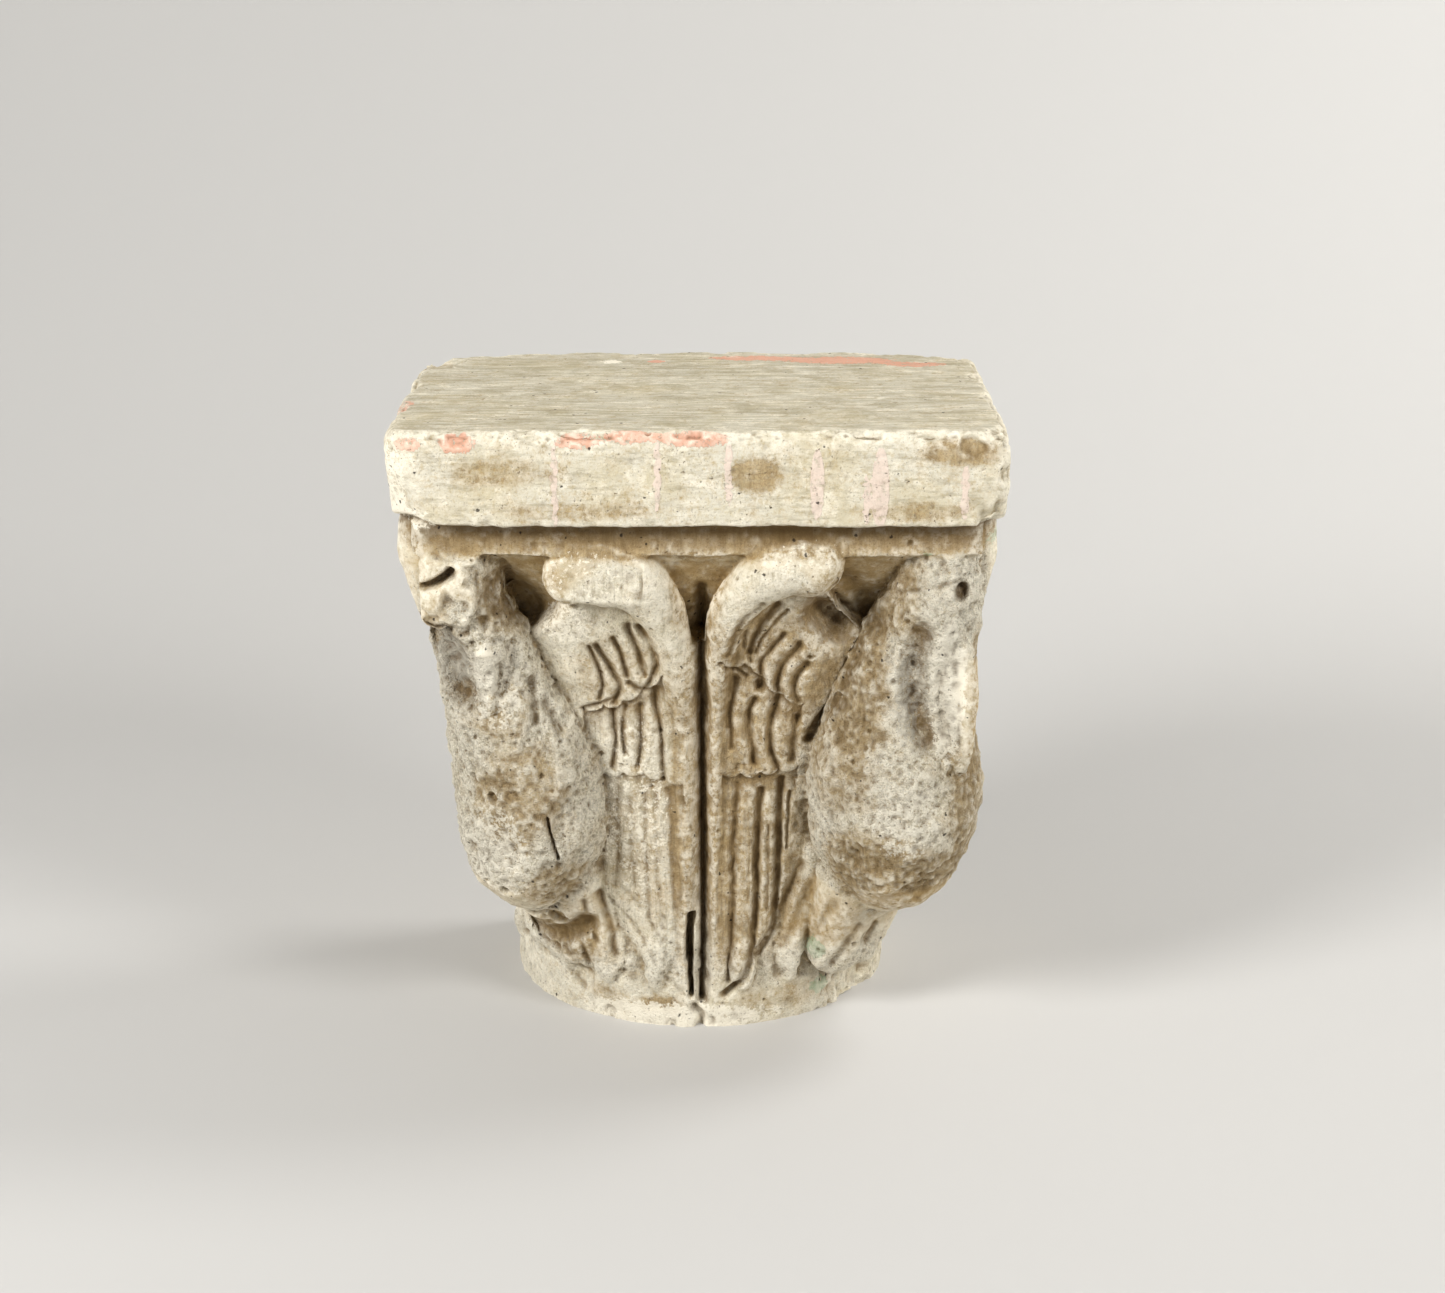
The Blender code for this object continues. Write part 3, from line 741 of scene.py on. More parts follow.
class Wear:
    """What time did to the plaster: lumps, pits, chips and rubbed edges.

    Each dent is a row of its place, reach and depth, and of how rough it is where that is unusual.
    """

    LUMPS = {
        Part.ABACUS: (0.7, 0.45, 0.22),
        Part.HOLLOW: (0.9, 0.5, 0.3),
        Part.WING: (0.9, 0.6, 0.35),
        Part.BIRD: (2.0, 1.5, 1.0),
        Part.FOOT: (2.0, 1.5, 0.7),
    }
    SIZES = (24.0, 7.5, 2.8)
    DENTS = tuple(Dent(row[:3], *row[3:]) for row in (
        (-127, -154, 257, 11, 2.6), (-112, -151, 250, 10, 4.0), (-142, -150, 251, 8, 3.0),
        (-134, -154, 281, 9, 1.8), (-114, -152, 274, 8, 2.2), (-104, -146, 236, 9, 2.0),
        (-136, -140, 224, 9, 3.4), (156, -158, 306, 14, 4.0), (159, -150, 350, 12, 3.0),
        (160, -118, 352, 9, 2.6), (159, -70, 352, 12, 2.4), (158, -20, 353, 10, 2.4),
        (160, -155, 331, 8, 1.8), (118, -160, 350, 6, 1.6), (140, -160, 346, 8, 1.8),
        (-120, -160, 352, 7, 1.8), (-88, -159, 353, 9, 1.5), (-58, -160, 353, 8, 1.8),
        (-8, -160, 352, 7, 1.6), (34, -160, 353, 9, 1.4), (84, -159, 353, 8, 1.6), (-151, 26, 353, 17, 4.5),
        (-160, -40, 352, 14, 2.0), (-160, -100, 351, 10, 2.2), (-105.8, -124, 90, 3.6, 6.0, 0.2),
        (-121, -128, 156, 4.2, 4.0, 0.3), (-109.7, -134, 148, 3.4, 3.0, 0.3), (-124, -130, 205, 6, 3.0),
        (-111, -142, 229, 12, -3.5, 0.2), (-112, -138, 216, 8, -2.5, 0.2), (-100, -138, 150, 5, 1.6),
        (-96, -128, 178, 7, 1.8), (-78, -130, 108, 7, 2.0), (-72, -132, 160, 8, -2.2),
        (-92, -140, 128, 14, -2.5), (-128, -122, 110, 9, 2.0), (90, -140, 118, 12, 1.8),
        (120, -140, 92, 12, 2.2), (74, -138, 140, 9, 1.5), (104, -148, 138, 10, 1.4),
        (143, -120, 148, 10, 1.6), (78, -132, 176, 9, -1.6), (139, -138, 246, 6, 3.0),
        (126, -146, 280, 6, 2.0), (72, -140, 284, 5, 2.6), (80, -140, 275, 4, 2.4), (-30, -109, 2, 6, 1.2),
        (-52, -95, 3, 6, 1.4), (90, -62, 6, 26, 5.0), (-16, -108, 2, 5, 1.2), (6, -109, 3, 5, 2.0),
        (36, -101, 14, 1.6, 4.0, 0.1), (-66, -86, 22, 10, 2.6), (74, -78, 24, 10, 2.4),
        (92, -60, 30, 8, 2.4), (-60, -100, 34, 8, -2.0), (-40, -104, 36, 7, -1.6), (88, -88, 52, 9, -2.4),
        (70, -96, 38, 8, -2.0), (-84, -80, 46, 8, -2.0), (-86, -104, 62, 15, 4.0, 0.8),
    ))
    PIT_COUNT = 700
    PIT_REACH = (0.9, 2.4)
    PIT_DEPTH = 1.5
    EDGE_CHIPS = 3.0
    UPPER_EDGE, LOWER_EDGE, UPRIGHT_EDGE = 8, 6, 9
    WRIST_LOW, WRIST_HIGH = (-86, -156, 258), (-28, -125, FILLET_FOOT + 8)
    WRIST_MIDDLE, WRIST_FACE, WRIST_SLOPE = -58, -148.5, 0.035

    def __init__(self, coarse: Grain, fine: Grain, birds: Sequence[Bird], wing: Line) -> None:
        """Keep the fields for larger and smaller swells, the corner birds and a wing's outline."""
        self.coarse, self.fine, self.birds, self.wing = coarse, fine, birds, wing

    def shares(self, place: Array) -> dict[Part, Array]:
        """How far each point belongs to each region.

        Args:
            place: Points, one a row.

        Returns:
            For each region, a share from 0 to 1 for each point.
        """
        x, y, z = place.T
        slab_share = ease((z - FILLET_FOOT + 3) / 4)
        foot = ease((62 - z) / 24) * (1 - slab_share)
        near = np.minimum(*(bird.near(place) for bird in self.birds))
        bird = ease((1.22 - near) / 0.14) * (1 - slab_share) * (1 - foot)
        along = np.where(-y > np.abs(x) - 20, np.abs(x), np.abs(y))
        wing = ease(distance_inside(along, z, self.wing) / 5 + 0.8) * (y < 5)
        rest = (1 - slab_share) * (1 - foot) * (1 - bird)
        foot = foot * (0.45 + 0.55 * ease((z - 20) / 14))
        return {Part.ABACUS: slab_share, Part.FOOT: foot, Part.BIRD: bird, Part.WING: rest * wing,
                Part.HOLLOW: rest * (1 - wing)}

    def lumps(self, place: Array, shares: dict[Part, Array]) -> Array:
        """Uneven surface of the cast, stronger on the birds and the foot.

        Args:
            place: Points, one a row.
            shares: What shares() gave for them.

        Returns:
            How deep each point lies below the true form.
        """
        depth = np.zeros(len(place))
        for layer, (size, field) in enumerate(zip(self.SIZES, (self.coarse, self.fine, self.fine))):
            strength = sum(self.LUMPS[part][layer] * share for part, share in shares.items())
            depth += strength * field.at(place, size)
        return depth + 0.5 * shares[Part.ABACUS]

    def chipped_edges(self, place: Array, plan: Line) -> Array:
        """Chips along the slab's upper and lower edges and its cut edges behind.

        Args:
            place: Points, one a row.
            plan: The outline that the cast is cut to.

        Returns:
            How much is lost at each point.
        """
        x, y, z = place.T
        inside = np.minimum(np.minimum(FRONT - np.abs(x), FRONT + y), distance_inside(x, y, plan))
        upper = np.hypot(inside, HEIGHT - z)
        lower = np.hypot(np.minimum(FRONT - np.abs(x), FRONT + y), z - ABACUS_FOOT)
        upright = np.where(y < 0, np.hypot(FRONT - np.abs(x), FRONT + y), 99.0)
        broken = ease((self.coarse.at(place, 11.0) + 0.6 * self.fine.at(place, 4.5) - 0.1) / 0.6)
        edge = (ease(1 - upper / self.UPPER_EDGE) + 0.35 * ease(1 - lower / self.LOWER_EDGE)
                + 0.6 * ease(1 - upright / self.UPRIGHT_EDGE))
        return (z > ABACUS_FOOT - 2) * edge * (0.8 + self.EDGE_CHIPS * broken)

    def pits(self, place: Array, shares: dict[Part, Array]) -> Array:
        """Air holes and lost grains.

        Args:
            place: Points, one a row.
            shares: What shares() gave for them.

        Returns:
            How deep they go at each point.
        """
        chance = np.random.default_rng(11)
        often = (0.25 * shares[Part.ABACUS] + 1.0 * shares[Part.BIRD] + 0.8 * shares[Part.FOOT]
                 + 0.35 * shares[Part.WING] + 0.2 * shares[Part.HOLLOW])
        picked = chance.choice(len(place), self.PIT_COUNT, replace=False, p=often / often.sum())
        order = np.argsort(place[:, 2])
        heights = place[order, 2]
        depth = np.zeros(len(place))
        for index in picked:
            reach = chance.uniform(*self.PIT_REACH) * chance.uniform(0.6, 1.0)
            low, high = np.searchsorted(heights, place[index, 2] + np.array((-reach, reach)))
            around = order[low:high]
            apart = np.linalg.norm(place[around] - place[index], axis=1) / reach
            depth[around] = np.maximum(depth[around], self.PIT_DEPTH * reach / 2 * ease((1 - apart) / 0.5))
        return depth

    def depth(self, place: Array, plan: Line) -> Array:
        """All wear together.

        Args:
            place: Points, one a row.
            plan: The outline that the cast is cut to.

        Returns:
            How much is lost at each point, negative where plaster stands proud.
        """
        shares = self.shares(place)
        rim = self.fine.at(place, 5.0)
        depth = self.lumps(place, shares) + self.pits(place, shares)
        for dent in self.DENTS:
            depth += dent.at(place, rim)
        return depth + self.chipped_edges(place, plan)

    def rubbed_wrist(self, place: Array) -> None:
        """Flatten the left wing's wrist, which is rubbed down to a rough flat, in place.

        Args:
            place: Points, one a row.
        """
        here = np.all((place > self.WRIST_LOW) & (place < self.WRIST_HIGH), axis=1)
        flat = (self.WRIST_FACE - self.WRIST_SLOPE * (place[:, 0] - self.WRIST_MIDDLE)
                + 0.7 * self.fine.at(place, 5.0) + 0.5 * self.coarse.at(place, 12.0))
        place[:, 1] = np.where(here, np.maximum(place[:, 1], flat), place[:, 1])


def stand(name: str, data: Any) -> bpy.types.Object:
    """Make an object and stand it in the scene.

    Args:
        name: Its name.
        data: Its mesh, light or camera.

    Returns:
        The object.
    """
    made = bpy.data.objects.new(name, data)
    bpy.context.scene.collection.objects.link(made)
    return made


class Plaster:
    """The cast itself: forms fused, carved, worn, thinned and cut flat where it meets the building."""

    VOXEL = 1.05
    SMOOTHING = 3
    TRIANGLES = 170000
    SLAB_EDGE = 3.6
    SHARP_ANGLE = radians(50)
    WORN_CORNERS = (((-FRONT, -FRONT, ABACUS_FOOT), 36, 10), ((FRONT, -FRONT, ABACUS_FOOT), 24, 5))
    PLAN = ((-WIDTH, -WIDTH), (WIDTH, -WIDTH), (WIDTH, BACK - SWEEP_DEPTH), (FRONT, BACK - SWEEP_DEPTH),
            (FRONT - RIGHT_SWEEP, BACK), (LEFT_SWEEP - FRONT, BACK), (-FRONT, BACK - SWEEP_DEPTH),
            (-WIDTH, BACK - SWEEP_DEPTH))
    CUTS = (((0, 0, 0), (0, 0, -1)), ((0, BACK, 0), (0, 1, 0)),
            ((LEFT_SWEEP - FRONT, BACK, 0), (-SWEEP_DEPTH, LEFT_SWEEP, 0)),
            ((FRONT - RIGHT_SWEEP, BACK, 0), (SWEEP_DEPTH, RIGHT_SWEEP, 0)))

    def __init__(self, forms: Sequence[Any], carving: Carving, wear: Wear) -> None:
        """Keep everything that has bodies(), the work of the tool and the work of time."""
        self.forms, self.carving, self.wear = forms, carving, wear

    def mass(self) -> bpy.types.Object:
        """All forms as one object of overlapping bodies.

        Returns:
            The object.
        """
        whole = bmesh.new()
        for form in self.forms:
            for body in form.bodies():
                piece = bpy.data.meshes.new("form")
                body.to_mesh(piece)
                body.free()
                whole.from_mesh(piece)
                bpy.data.meshes.remove(piece)
        mesh = bpy.data.meshes.new("forms")
        whole.to_mesh(mesh)
        whole.free()
        return stand("forms", mesh)

    @staticmethod
    def baked(source: bpy.types.Object) -> bpy.types.Mesh:
        """The object's mesh with its modifiers applied; the object goes.

        Args:
            source: The object.

        Returns:
            The new mesh.
        """
        bpy.context.view_layer.update()
        graph = bpy.context.evaluated_depsgraph_get()
        mesh = bpy.data.meshes.new_from_object(source.evaluated_get(graph))
        bpy.data.objects.remove(source)
        return mesh

    def skin(self) -> bpy.types.Mesh:
        """Fuse the forms into one fine skin.

        Returns:
            The skin.
        """
        source = self.mass()
        fuse = source.modifiers.new("fuse", "REMESH")
        fuse.mode = "VOXEL"
        fuse.voxel_size = self.VOXEL * MM
        soften = source.modifiers.new("soften", "SMOOTH")
        soften.factor = 0.5
        soften.iterations = self.SMOOTHING
        return self.baked(source)

    def work(self, skin: bpy.types.Mesh) -> None:
        """Carve and wear the skin in place.

        Args:
            skin: The fused skin.
        """
        place, normal = read_points(skin)
        _, move = self.carving.depth(place, normal)
        place += move
        self.wear.rubbed_wrist(place)
        for corner, reach, loss in self.WORN_CORNERS:
            corner = np.array(corner)
            inward = np.array((-np.sign(corner[0]), -np.sign(corner[1]), 1.0)) / np.sqrt(3.0)
            near = ease(1 - np.linalg.norm(place - corner, axis=1) / reach) * (place[:, 2] > ABACUS_FOOT - 1)
            place += near[:, None] * loss * inward
        place -= normal * self.wear.depth(place, self.PLAN)[:, None]
        np.clip(place, (-FRONT, -FRONT, -WIDTH), (FRONT, WIDTH, HEIGHT), out=place)
        skin.vertices.foreach_set("co", (place * MM).ravel())
        skin.update()

    def divide_slab(self, body: bmesh.types.BMesh) -> None:
        """Halve long edges on the slab until its plain faces have points enough to hold paint.

        Args:
            body: The cast, in metres, of triangles.
        """
        for _ in range(3):
            long = [e for e in body.edges if e.calc_length() > self.SLAB_EDGE * MM
                    and all(v.co.z > ABACUS_FOOT * MM for v in e.verts)]
            bmesh.ops.subdivide_edges(body, edges=long, cuts=1)
            bmesh.ops.triangulate(body, faces=[f for f in body.faces if len(f.verts) > 3])

    def trim(self, mesh: bpy.types.Mesh) -> None:
        """Cut the cast flat at its bed and behind, where it meets the building, in place.

        Args:
            mesh: The cast.
        """
        body = bmesh.new()
        body.from_mesh(mesh)
        self.divide_slab(body)
        for place, outward in self.CUTS:
            cut = bmesh.ops.bisect_plane(body, geom=[*body.verts, *body.edges, *body.faces], dist=1e-7,
                                         plane_co=Vector(place) * MM, plane_no=Vector(outward),
                                         clear_outer=True)
            rim = [part for part in cut["geom_cut"] if isinstance(part, bmesh.types.BMEdge)]
            bmesh.ops.holes_fill(body, edges=rim, sides=0)
        bmesh.ops.recalc_face_normals(body, faces=body.faces)
        body.to_mesh(mesh)
        body.free()

    def made(self, name: str) -> bpy.types.Object:
        """Make the finished cast.

        Args:
            name: The object's name.

        Returns:
            The object, in the scene.
        """
        skin = self.skin()
        log.info("fused skin: %d points", len(skin.vertices))
        self.work(skin)
        source = stand("worked", skin)
        thin = source.modifiers.new("thin", "DECIMATE")
        thin.ratio = self.TRIANGLES / (2.0 * len(skin.polygons))
        mesh = self.baked(source)
        self.trim(mesh)
        place, _ = read_points(mesh)
        mesh.vertices.foreach_set("co", np.clip(place * MM, *np.array(CAD_BOX)).ravel())
        mesh.shade_smooth()
        mesh.set_sharp_from_angle(angle=self.SHARP_ANGLE)
        return stand(name, mesh)


def read_points(mesh: bpy.types.Mesh) -> tuple[Array, Array]:
    """Places and directions of a mesh's points.

    Args:
        mesh: The mesh, in metres.

    Returns:
        Places in millimetres and unit directions, one a row.
    """
    place, normal = np.empty(len(mesh.vertices) * 3), np.empty(len(mesh.vertices) * 3)
    mesh.vertices.foreach_get("co", place)
    mesh.vertices.foreach_get("normal", normal)
    return place.reshape(-1, 3) / MM, normal.reshape(-1, 3)


class Stains:
    """Where dirt, paint and rubbing show, and where shade and highlight are painted, written to the mesh for
    the finish to read.

    Each patch is a row of its place and half sizes, and of its strength where that isn't full.
    """

    PATCHES = {
        Tint.PINK: (
            (-147, -160, 347, 9, 8, 4.5, 0.9), (-121, -160, 348, 10, 8, 6.5), (-60, -160, 349, 12, 8, 5.5),
            (-34, -160, 351, 16, 8, 4.0), (-2, -160, 350, 20, 8, 5.0), (-155, -90, 351, 7, 12, 5, 0.8),
            (-25, 27, 353, 6, 5, 6), (30, 36, 353, 26, 8, 8), (80, 30, 353, 34, 12, 8),
            (122, 18, 353, 20, 8, 8, 0.9), (61, -160, 325, 3.4, 6, 17, 0.42),
        ),
        Tint.WHITE: (
            (-112, -142, 224, 6, 10, 15, 1.0), (-49.5, 25, 353, 6, 6, 6),
            (-155, -140, 330, 10, 34, 22, 0.75), (-146, -140, 306, 16, 30, 8, 0.7),
            (110, -150, 140, 20, 18, 24, 0.7), (-112, -134, 112, 26, 26, 34, 0.75),
            (131, -148, 212, 10, 22, 46, 1.0), (-104, -136, 216, 20, 22, 30, 0.7),
            (-60, -146, 274, 32, 12, 16, 0.5), (56, -150, 284, 26, 14, 12, 0.4),
            (-70, -128, 246, 18, 20, 16, 0.7), (-20, -104, 6, 70, 30, 9, 0.9),
            (-34, -114, 130, 20, 24, 70, 0.55),
        ),
        Tint.DRIP: (
            (61, -160, 326, 3.6, 6, 19), (93, -160, 324, 4.4, 6, 22), (86, -160, 318, 1.8, 6, 14),
            (16, -160, 334, 2.0, 6, 20), (-72, -160, 325, 1.6, 6, 26), (-20, -160, 330, 1.6, 6, 22),
            (136, -160, 322, 2.0, 6, 16),
        ),
        Tint.BROWN: (
            (30, -160, 331, 13, 6, 9, 0.7), (134, -160, 343, 20, 8, 7, 0.75),
            (-100, -160, 333, 26, 6, 7, 0.4), (-60, -160, 312, 40, 6, 5, 0.35),
            (112, -160, 312, 30, 6, 5, 0.4), (-148, 20, 353, 12, 12, 5, 0.35),
            # The three patches at height 292 lie on the fillet: a brown stain there, and painted shade under
            # the slab's overhang
            (0, -148, 292, 170, 10, 9, 0.85), (148, -80, 292, 10, 80, 9, 0.7),
            (-148, -80, 292, 10, 80, 9, 0.6), (116, -40, 240, 14, 60, 50, 0.4),
            (-116, -40, 240, 14, 60, 50, 0.4), (-96, -132, 148, 24, 20, 30, 0.62),
            (-104, -132, 196, 16, 18, 16, 0.45), (-76, -124, 92, 20, 20, 16, 0.5),
            (-76, -96, 48, 24, 26, 16, 0.6), (98, -140, 104, 34, 26, 28, 1.0),
            (85, -132, 208, 16, 26, 44, 0.8), (148, -112, 150, 26, 40, 54, 0.55),
            (88, -128, 158, 30, 24, 22, 0.45), (147, -128, 196, 6, 20, 44, 0.9),
            (120, -134, 96, 30, 26, 22, 0.8), (32, -120, 212, 38, 24, 54, 1.2),
            (28, -112, 104, 30, 24, 66, 0.75), (12, -120, 150, 12, 26, 110, 0.7),
            (0, -130, 262, 16, 24, 26, 0.7), (-8, -114, 130, 7, 20, 100, 0.55),
            (-26, -110, 110, 26, 20, 50, 0.28), (-36, -124, 206, 30, 20, 36, 0.35),
            (66, -96, 66, 26, 30, 20, 0.4), (60, -104, 14, 40, 24, 8, 0.35),
            (-24, -108, 13, 14, 12, 5, 0.6), (-50, -96, 14, 16, 12, 8, 0.35),
            (86, -138, 262, 34, 26, 26, 0.6), (-92, -134, 262, 26, 26, 24, 0.6),
        ),
        Tint.GREY: (
            (-128, -130, 226, 12, 20, 18, 0.9), (110, -140, 206, 9, 20, 34, 0.7),
            (-112, -140, 266, 12, 16, 14, 0.3),
        ),
        Tint.GREEN: (
            (149, -117, 290, 10, 12, 9), (118, -148, 286, 3, 6, 3, 0.8), (66, -98, 46, 7, 12, 8),
            (68, -84, 16, 7, 10, 6),
        ),
    }
    NARROW, BROAD = 2, 34

    def __init__(self, carving: Carving, wear: Wear) -> None:
        """Keep what tells where the grooves and the regions are."""
        self.carving, self.wear = carving, wear

    @staticmethod
    def relief(mesh: bpy.types.Mesh, place: Array, normal: Array, rounds: int) -> Array:
        """How far each point lies below its surroundings.

        Args:
            mesh: The mesh.
            place: Its points.
            normal: Its directions.
            rounds: How far round the surroundings reach.

        Returns:
            Millimetres, negative where a point stands proud.
        """
        pairs = np.empty(len(mesh.edges) * 2, int)
        mesh.edges.foreach_get("vertices", pairs)
        one, other = pairs.reshape(-1, 2).T
        count = np.bincount(pairs, minlength=len(place))
        around = place.copy()
        for _ in range(rounds):
            for axis in range(3):
                values = around[:, axis]
                total = (np.bincount(one, values[other], len(place))
                         + np.bincount(other, values[one], len(place)))
                around[:, axis] = 0.5 * values + 0.5 * total / count
        return ((around - place) * normal).sum(axis=1)

    def write(self, cast: bpy.types.Object) -> None:
        """Give the cast one attribute for each kind of stain and relief.

        Args:
            cast: The finished cast.
        """
        mesh = cast.data
        place, normal = read_points(mesh)
        groove, _ = self.carving.depth(place, normal)
        narrow = self.relief(mesh, place, normal, self.NARROW)
        broad = self.relief(mesh, place, normal, self.BROAD)
        shares = self.wear.shares(place)
        # Painted shade under the slab's overhang: a band on the fillet, darkest right below the slab
        under = ease((ABACUS_FOOT + 2 - place[:, 2]) / 2) * ease((place[:, 2] - ABACUS_FOOT + 18) / 16)
        layers = {
            "groove": ease(groove / 3.5),
            "sunk": ease(broad / 3.0),
            "pit": ease(narrow / 0.5),
            # Raised points: rubbed plaster, and a painted highlight on them
            "proud": ease(-narrow / 0.35) * 0.5 + ease(-broad / 2.2) * 0.6,
            # Painted shade under the slab
            "under": under,
            "top": ease((normal[:, 2] - 0.7) / 0.2) * (place[:, 2] > ABACUS_FOOT),
            "slab": ease((place[:, 2] - ABACUS_FOOT) / 3),
            "sandy": shares[Part.BIRD] + 0.8 * shares[Part.FOOT] + 0.35 * shares[Part.WING],
            Part.WING.value: shares[Part.WING],
            Part.HOLLOW.value: shares[Part.HOLLOW],
        }
        for tint, rows in self.PATCHES.items():
            patches = (Patch(row[:3], row[3:6], *row[6:]) for row in rows)
            layers[tint.value] = np.clip(sum(patch.at(place) for patch in patches), 0, 1)
        for name, values in layers.items():
            made = mesh.attributes.new(name, "FLOAT", "POINT")
            made.data.foreach_set("value", np.asarray(values, np.float32))


def linear(hex_colour: str) -> tuple[float, float, float, float]:
    """Turn six hexadecimal digits of sRGB into the renderer's linear red, green, blue and alpha."""
    shares = [int(hex_colour[i:i + 2], 16) / 255 for i in (0, 2, 4)]
    return (*(s / 12.92 if s <= 0.04045 else ((s + 0.055) / 1.055) ** 2.4 for s in shares), 1.0)


def add_node(tree: bpy.types.NodeTree, kind: str, inputs: dict[Any, Any] | None = None,
             **settings: Any) -> bpy.types.Node:
    """Add a node with its settings and links.

    Args:
        tree: Where it goes.
        kind: The node's type.
        inputs: For each input's name or number, a value or the socket that feeds it.
        **settings: The node's own properties.

    Returns:
        The node.
    """
    node = tree.nodes.new(kind)
    for key, value in settings.items():
        setattr(node, key, value)
    for key, value in (inputs or {}).items():
        if isinstance(value, bpy.types.NodeSocket):
            tree.links.new(value, node.inputs[key])
        else:
            node.inputs[key].default_value = value
    return node


@dataclass(frozen=True)
class PlasterFinish:
    """Old cast plaster under worn limewash, with dirt in its hollows.

    Args:
        limewash: Cream wash that still covers most of it.
        pale: Rubbed and fresh plaster, and the painted highlight on raised points.
        warm: Wash that has yellowed.
        dust: Grey-olive dust on the top.
        ochre: Warm dirt in the pores.
        umber: Dirt in grooves and stains, and the painted shade under the slab.
        hole_shade: Painted shade inside the deepest air holes.
        pink: Flaked paint.
        green: Traces of green paint.
        grey: Broken plaster.
        drip: Runs of thin paint.
        roughness: How matt it is.
        ior: Its index of refraction.
    """

    limewash: str = "DED8C6"
    pale: str = "FAF2DE"
    warm: str = "C9BB96"
    dust: str = "9B9073"
    ochre: str = "B0935F"
    umber: str = "67502F"
    hole_shade: str = "241A0E"
    pink: str = "DBA085"
    green: str = "8FA583"
    grey: str = "BBB4A4"
    drip: str = "E9D5C6"
    roughness: float = 0.92
    ior: float = 1.5

    def material(self) -> bpy.types.Material:
        """Build the material.

        Returns:
            The material.
        """
        made = bpy.data.materials.new("limewashed_plaster")
        made.use_nodes = True
        tree = made.node_tree
        tree.nodes.clear()

        def node(kind: str, inputs: dict[Any, Any], output: Any = 0, **settings: Any) -> Any:
            """Output of a new node."""
            return add_node(tree, "ShaderNode" + kind, inputs, **settings).outputs[output]

        def grain(size_mm: float, detail: float = 4.0, rough: float = 0.6, squash: Any = None) -> Any:
            """Noise with swells of that size, stretched by squash."""
            source = node("VectorMath", {0: place, 1: squash}, operation="MULTIPLY") if squash else place
            return node("TexNoise", {"Vector": source, "Scale": 1 / (size_mm * MM), "Detail": detail,
                                     "Roughness": rough}, "Fac")

        def layer(name: str) -> Any:
            """Attribute of that name."""
            return node("Attribute", {}, "Fac", attribute_name=name)

        def span(value: Any, low: float, high: float, top: float = 1.0) -> Any:
            """0 below low, top above high, smooth between."""
            return node("MapRange", {"Value": value, "From Min": low, "From Max": high, "To Max": top},
                        "Result", interpolation_type="SMOOTHSTEP")

        def math(kind: str, one: Any, other: Any, clamped: bool = False) -> Any:
            """One sum of two values, kept between 0 and 1 where clamped."""
            return node("Math", {0: one, 1: other}, operation=kind, use_clamp=clamped)

        def times(one: Any, other: Any) -> Any:
            """Product of two values, kept between 0 and 1."""
            return math("MULTIPLY", one, other, clamped=True)

        def weighed(*terms: tuple[Any, float]) -> Any:
            """Sum of values, each by its own weight, free to pass 1."""
            total = 0.0
            for value, weight in terms:
                total = node("Math", {0: value, 1: weight, 2: total}, operation="MULTIPLY_ADD")
            return total

        def mixed(base: Any, upper: Any, share: Any) -> Any:
            """Upper colour laid over the base by its share."""
            return node("Mix", {0: share, 6: base, 7: upper}, 2, data_type="RGBA")

        def coated(base: Any, *coats: tuple[str, Any]) -> Any:
            """Coats laid over the base in turn, each a colour and its share."""
            for colour, share in coats:
                base = mixed(base, linear(colour), share)
            return base

        def painted(tint: Tint, low: float, high: float) -> Any:
            """A tint's attribute, broken into flakes by two noises."""
            return span(weighed((layer(tint.value), 0.5), (spot, 0.9), (sand, 0.5)), low, high)

        place = node("TexCoord", {}, "Object")
        swell, cloud, spot = grain(38, 3), grain(11, 5, 0.65), grain(4.0, 5, 0.7)
        crumb, sand, dust = grain(2.3, 4, 0.7), grain(1.4, 3, 0.65), grain(0.8, 2, 0.6)
        flake = grain(12, 12, 0.75)
        streak = grain(1.5, 4, 0.65, (0.07, 1.0, 0.35))
        band = grain(12, 4, 0.65, (0.16, 1.0, 1.0))
        drag = grain(2.6, 5, 0.7, (0.16, 0.16, 1.0))
        hang = grain(2.4, 5, 0.7, (1.0, 1.0, 0.1))
        groove, hollow, top, sandy = (layer(name) for name in ("groove", "sunk", "top", "sandy"))
        brown = layer(Tint.BROWN.value)

        # Lime wash, cloudy with yellowed and rubbed places, as it dries and wears
        plain = node("RGB", {})
        plain.default_value = linear(self.limewash)
        wash = coated(
            plain,
            (self.warm, span(swell, 0.4, 0.7, 0.6)),
            (self.pale, span(cloud, 0.45, 0.65, 0.6)),
            (self.warm, span(crumb, 0.5, 0.66, 0.5)),
            (self.pale, times(sandy, span(sand, 0.46, 0.56, 0.95))),
            (self.warm, span(dust, 0.54, 0.64, 0.4)),
        )

        # Bare plaster under the wash, soaked with old brown size
        bare = coated(wash, (self.ochre, 0.85), (self.umber, span(cloud, 0.46, 0.62, 0.6)),
                      (self.umber, span(sand, 0.5, 0.62, 0.55)), (self.warm, span(dust, 0.52, 0.62, 0.5)))

        # The wash has come off in crisp flakes, more of it where damp or hands have been
        lost = weighed((flake, 0.68), (crumb, 0.32), (brown, 0.28), (hollow, 0.05))
        flaked_off = span(lost, 0.58, 0.68)
        worn = coated(wash, (self.ochre, times(span(lost, 0.48, 0.62), 0.35)))
        worn = mixed(worn, bare, math("MULTIPLY", flaked_off, 0.85))
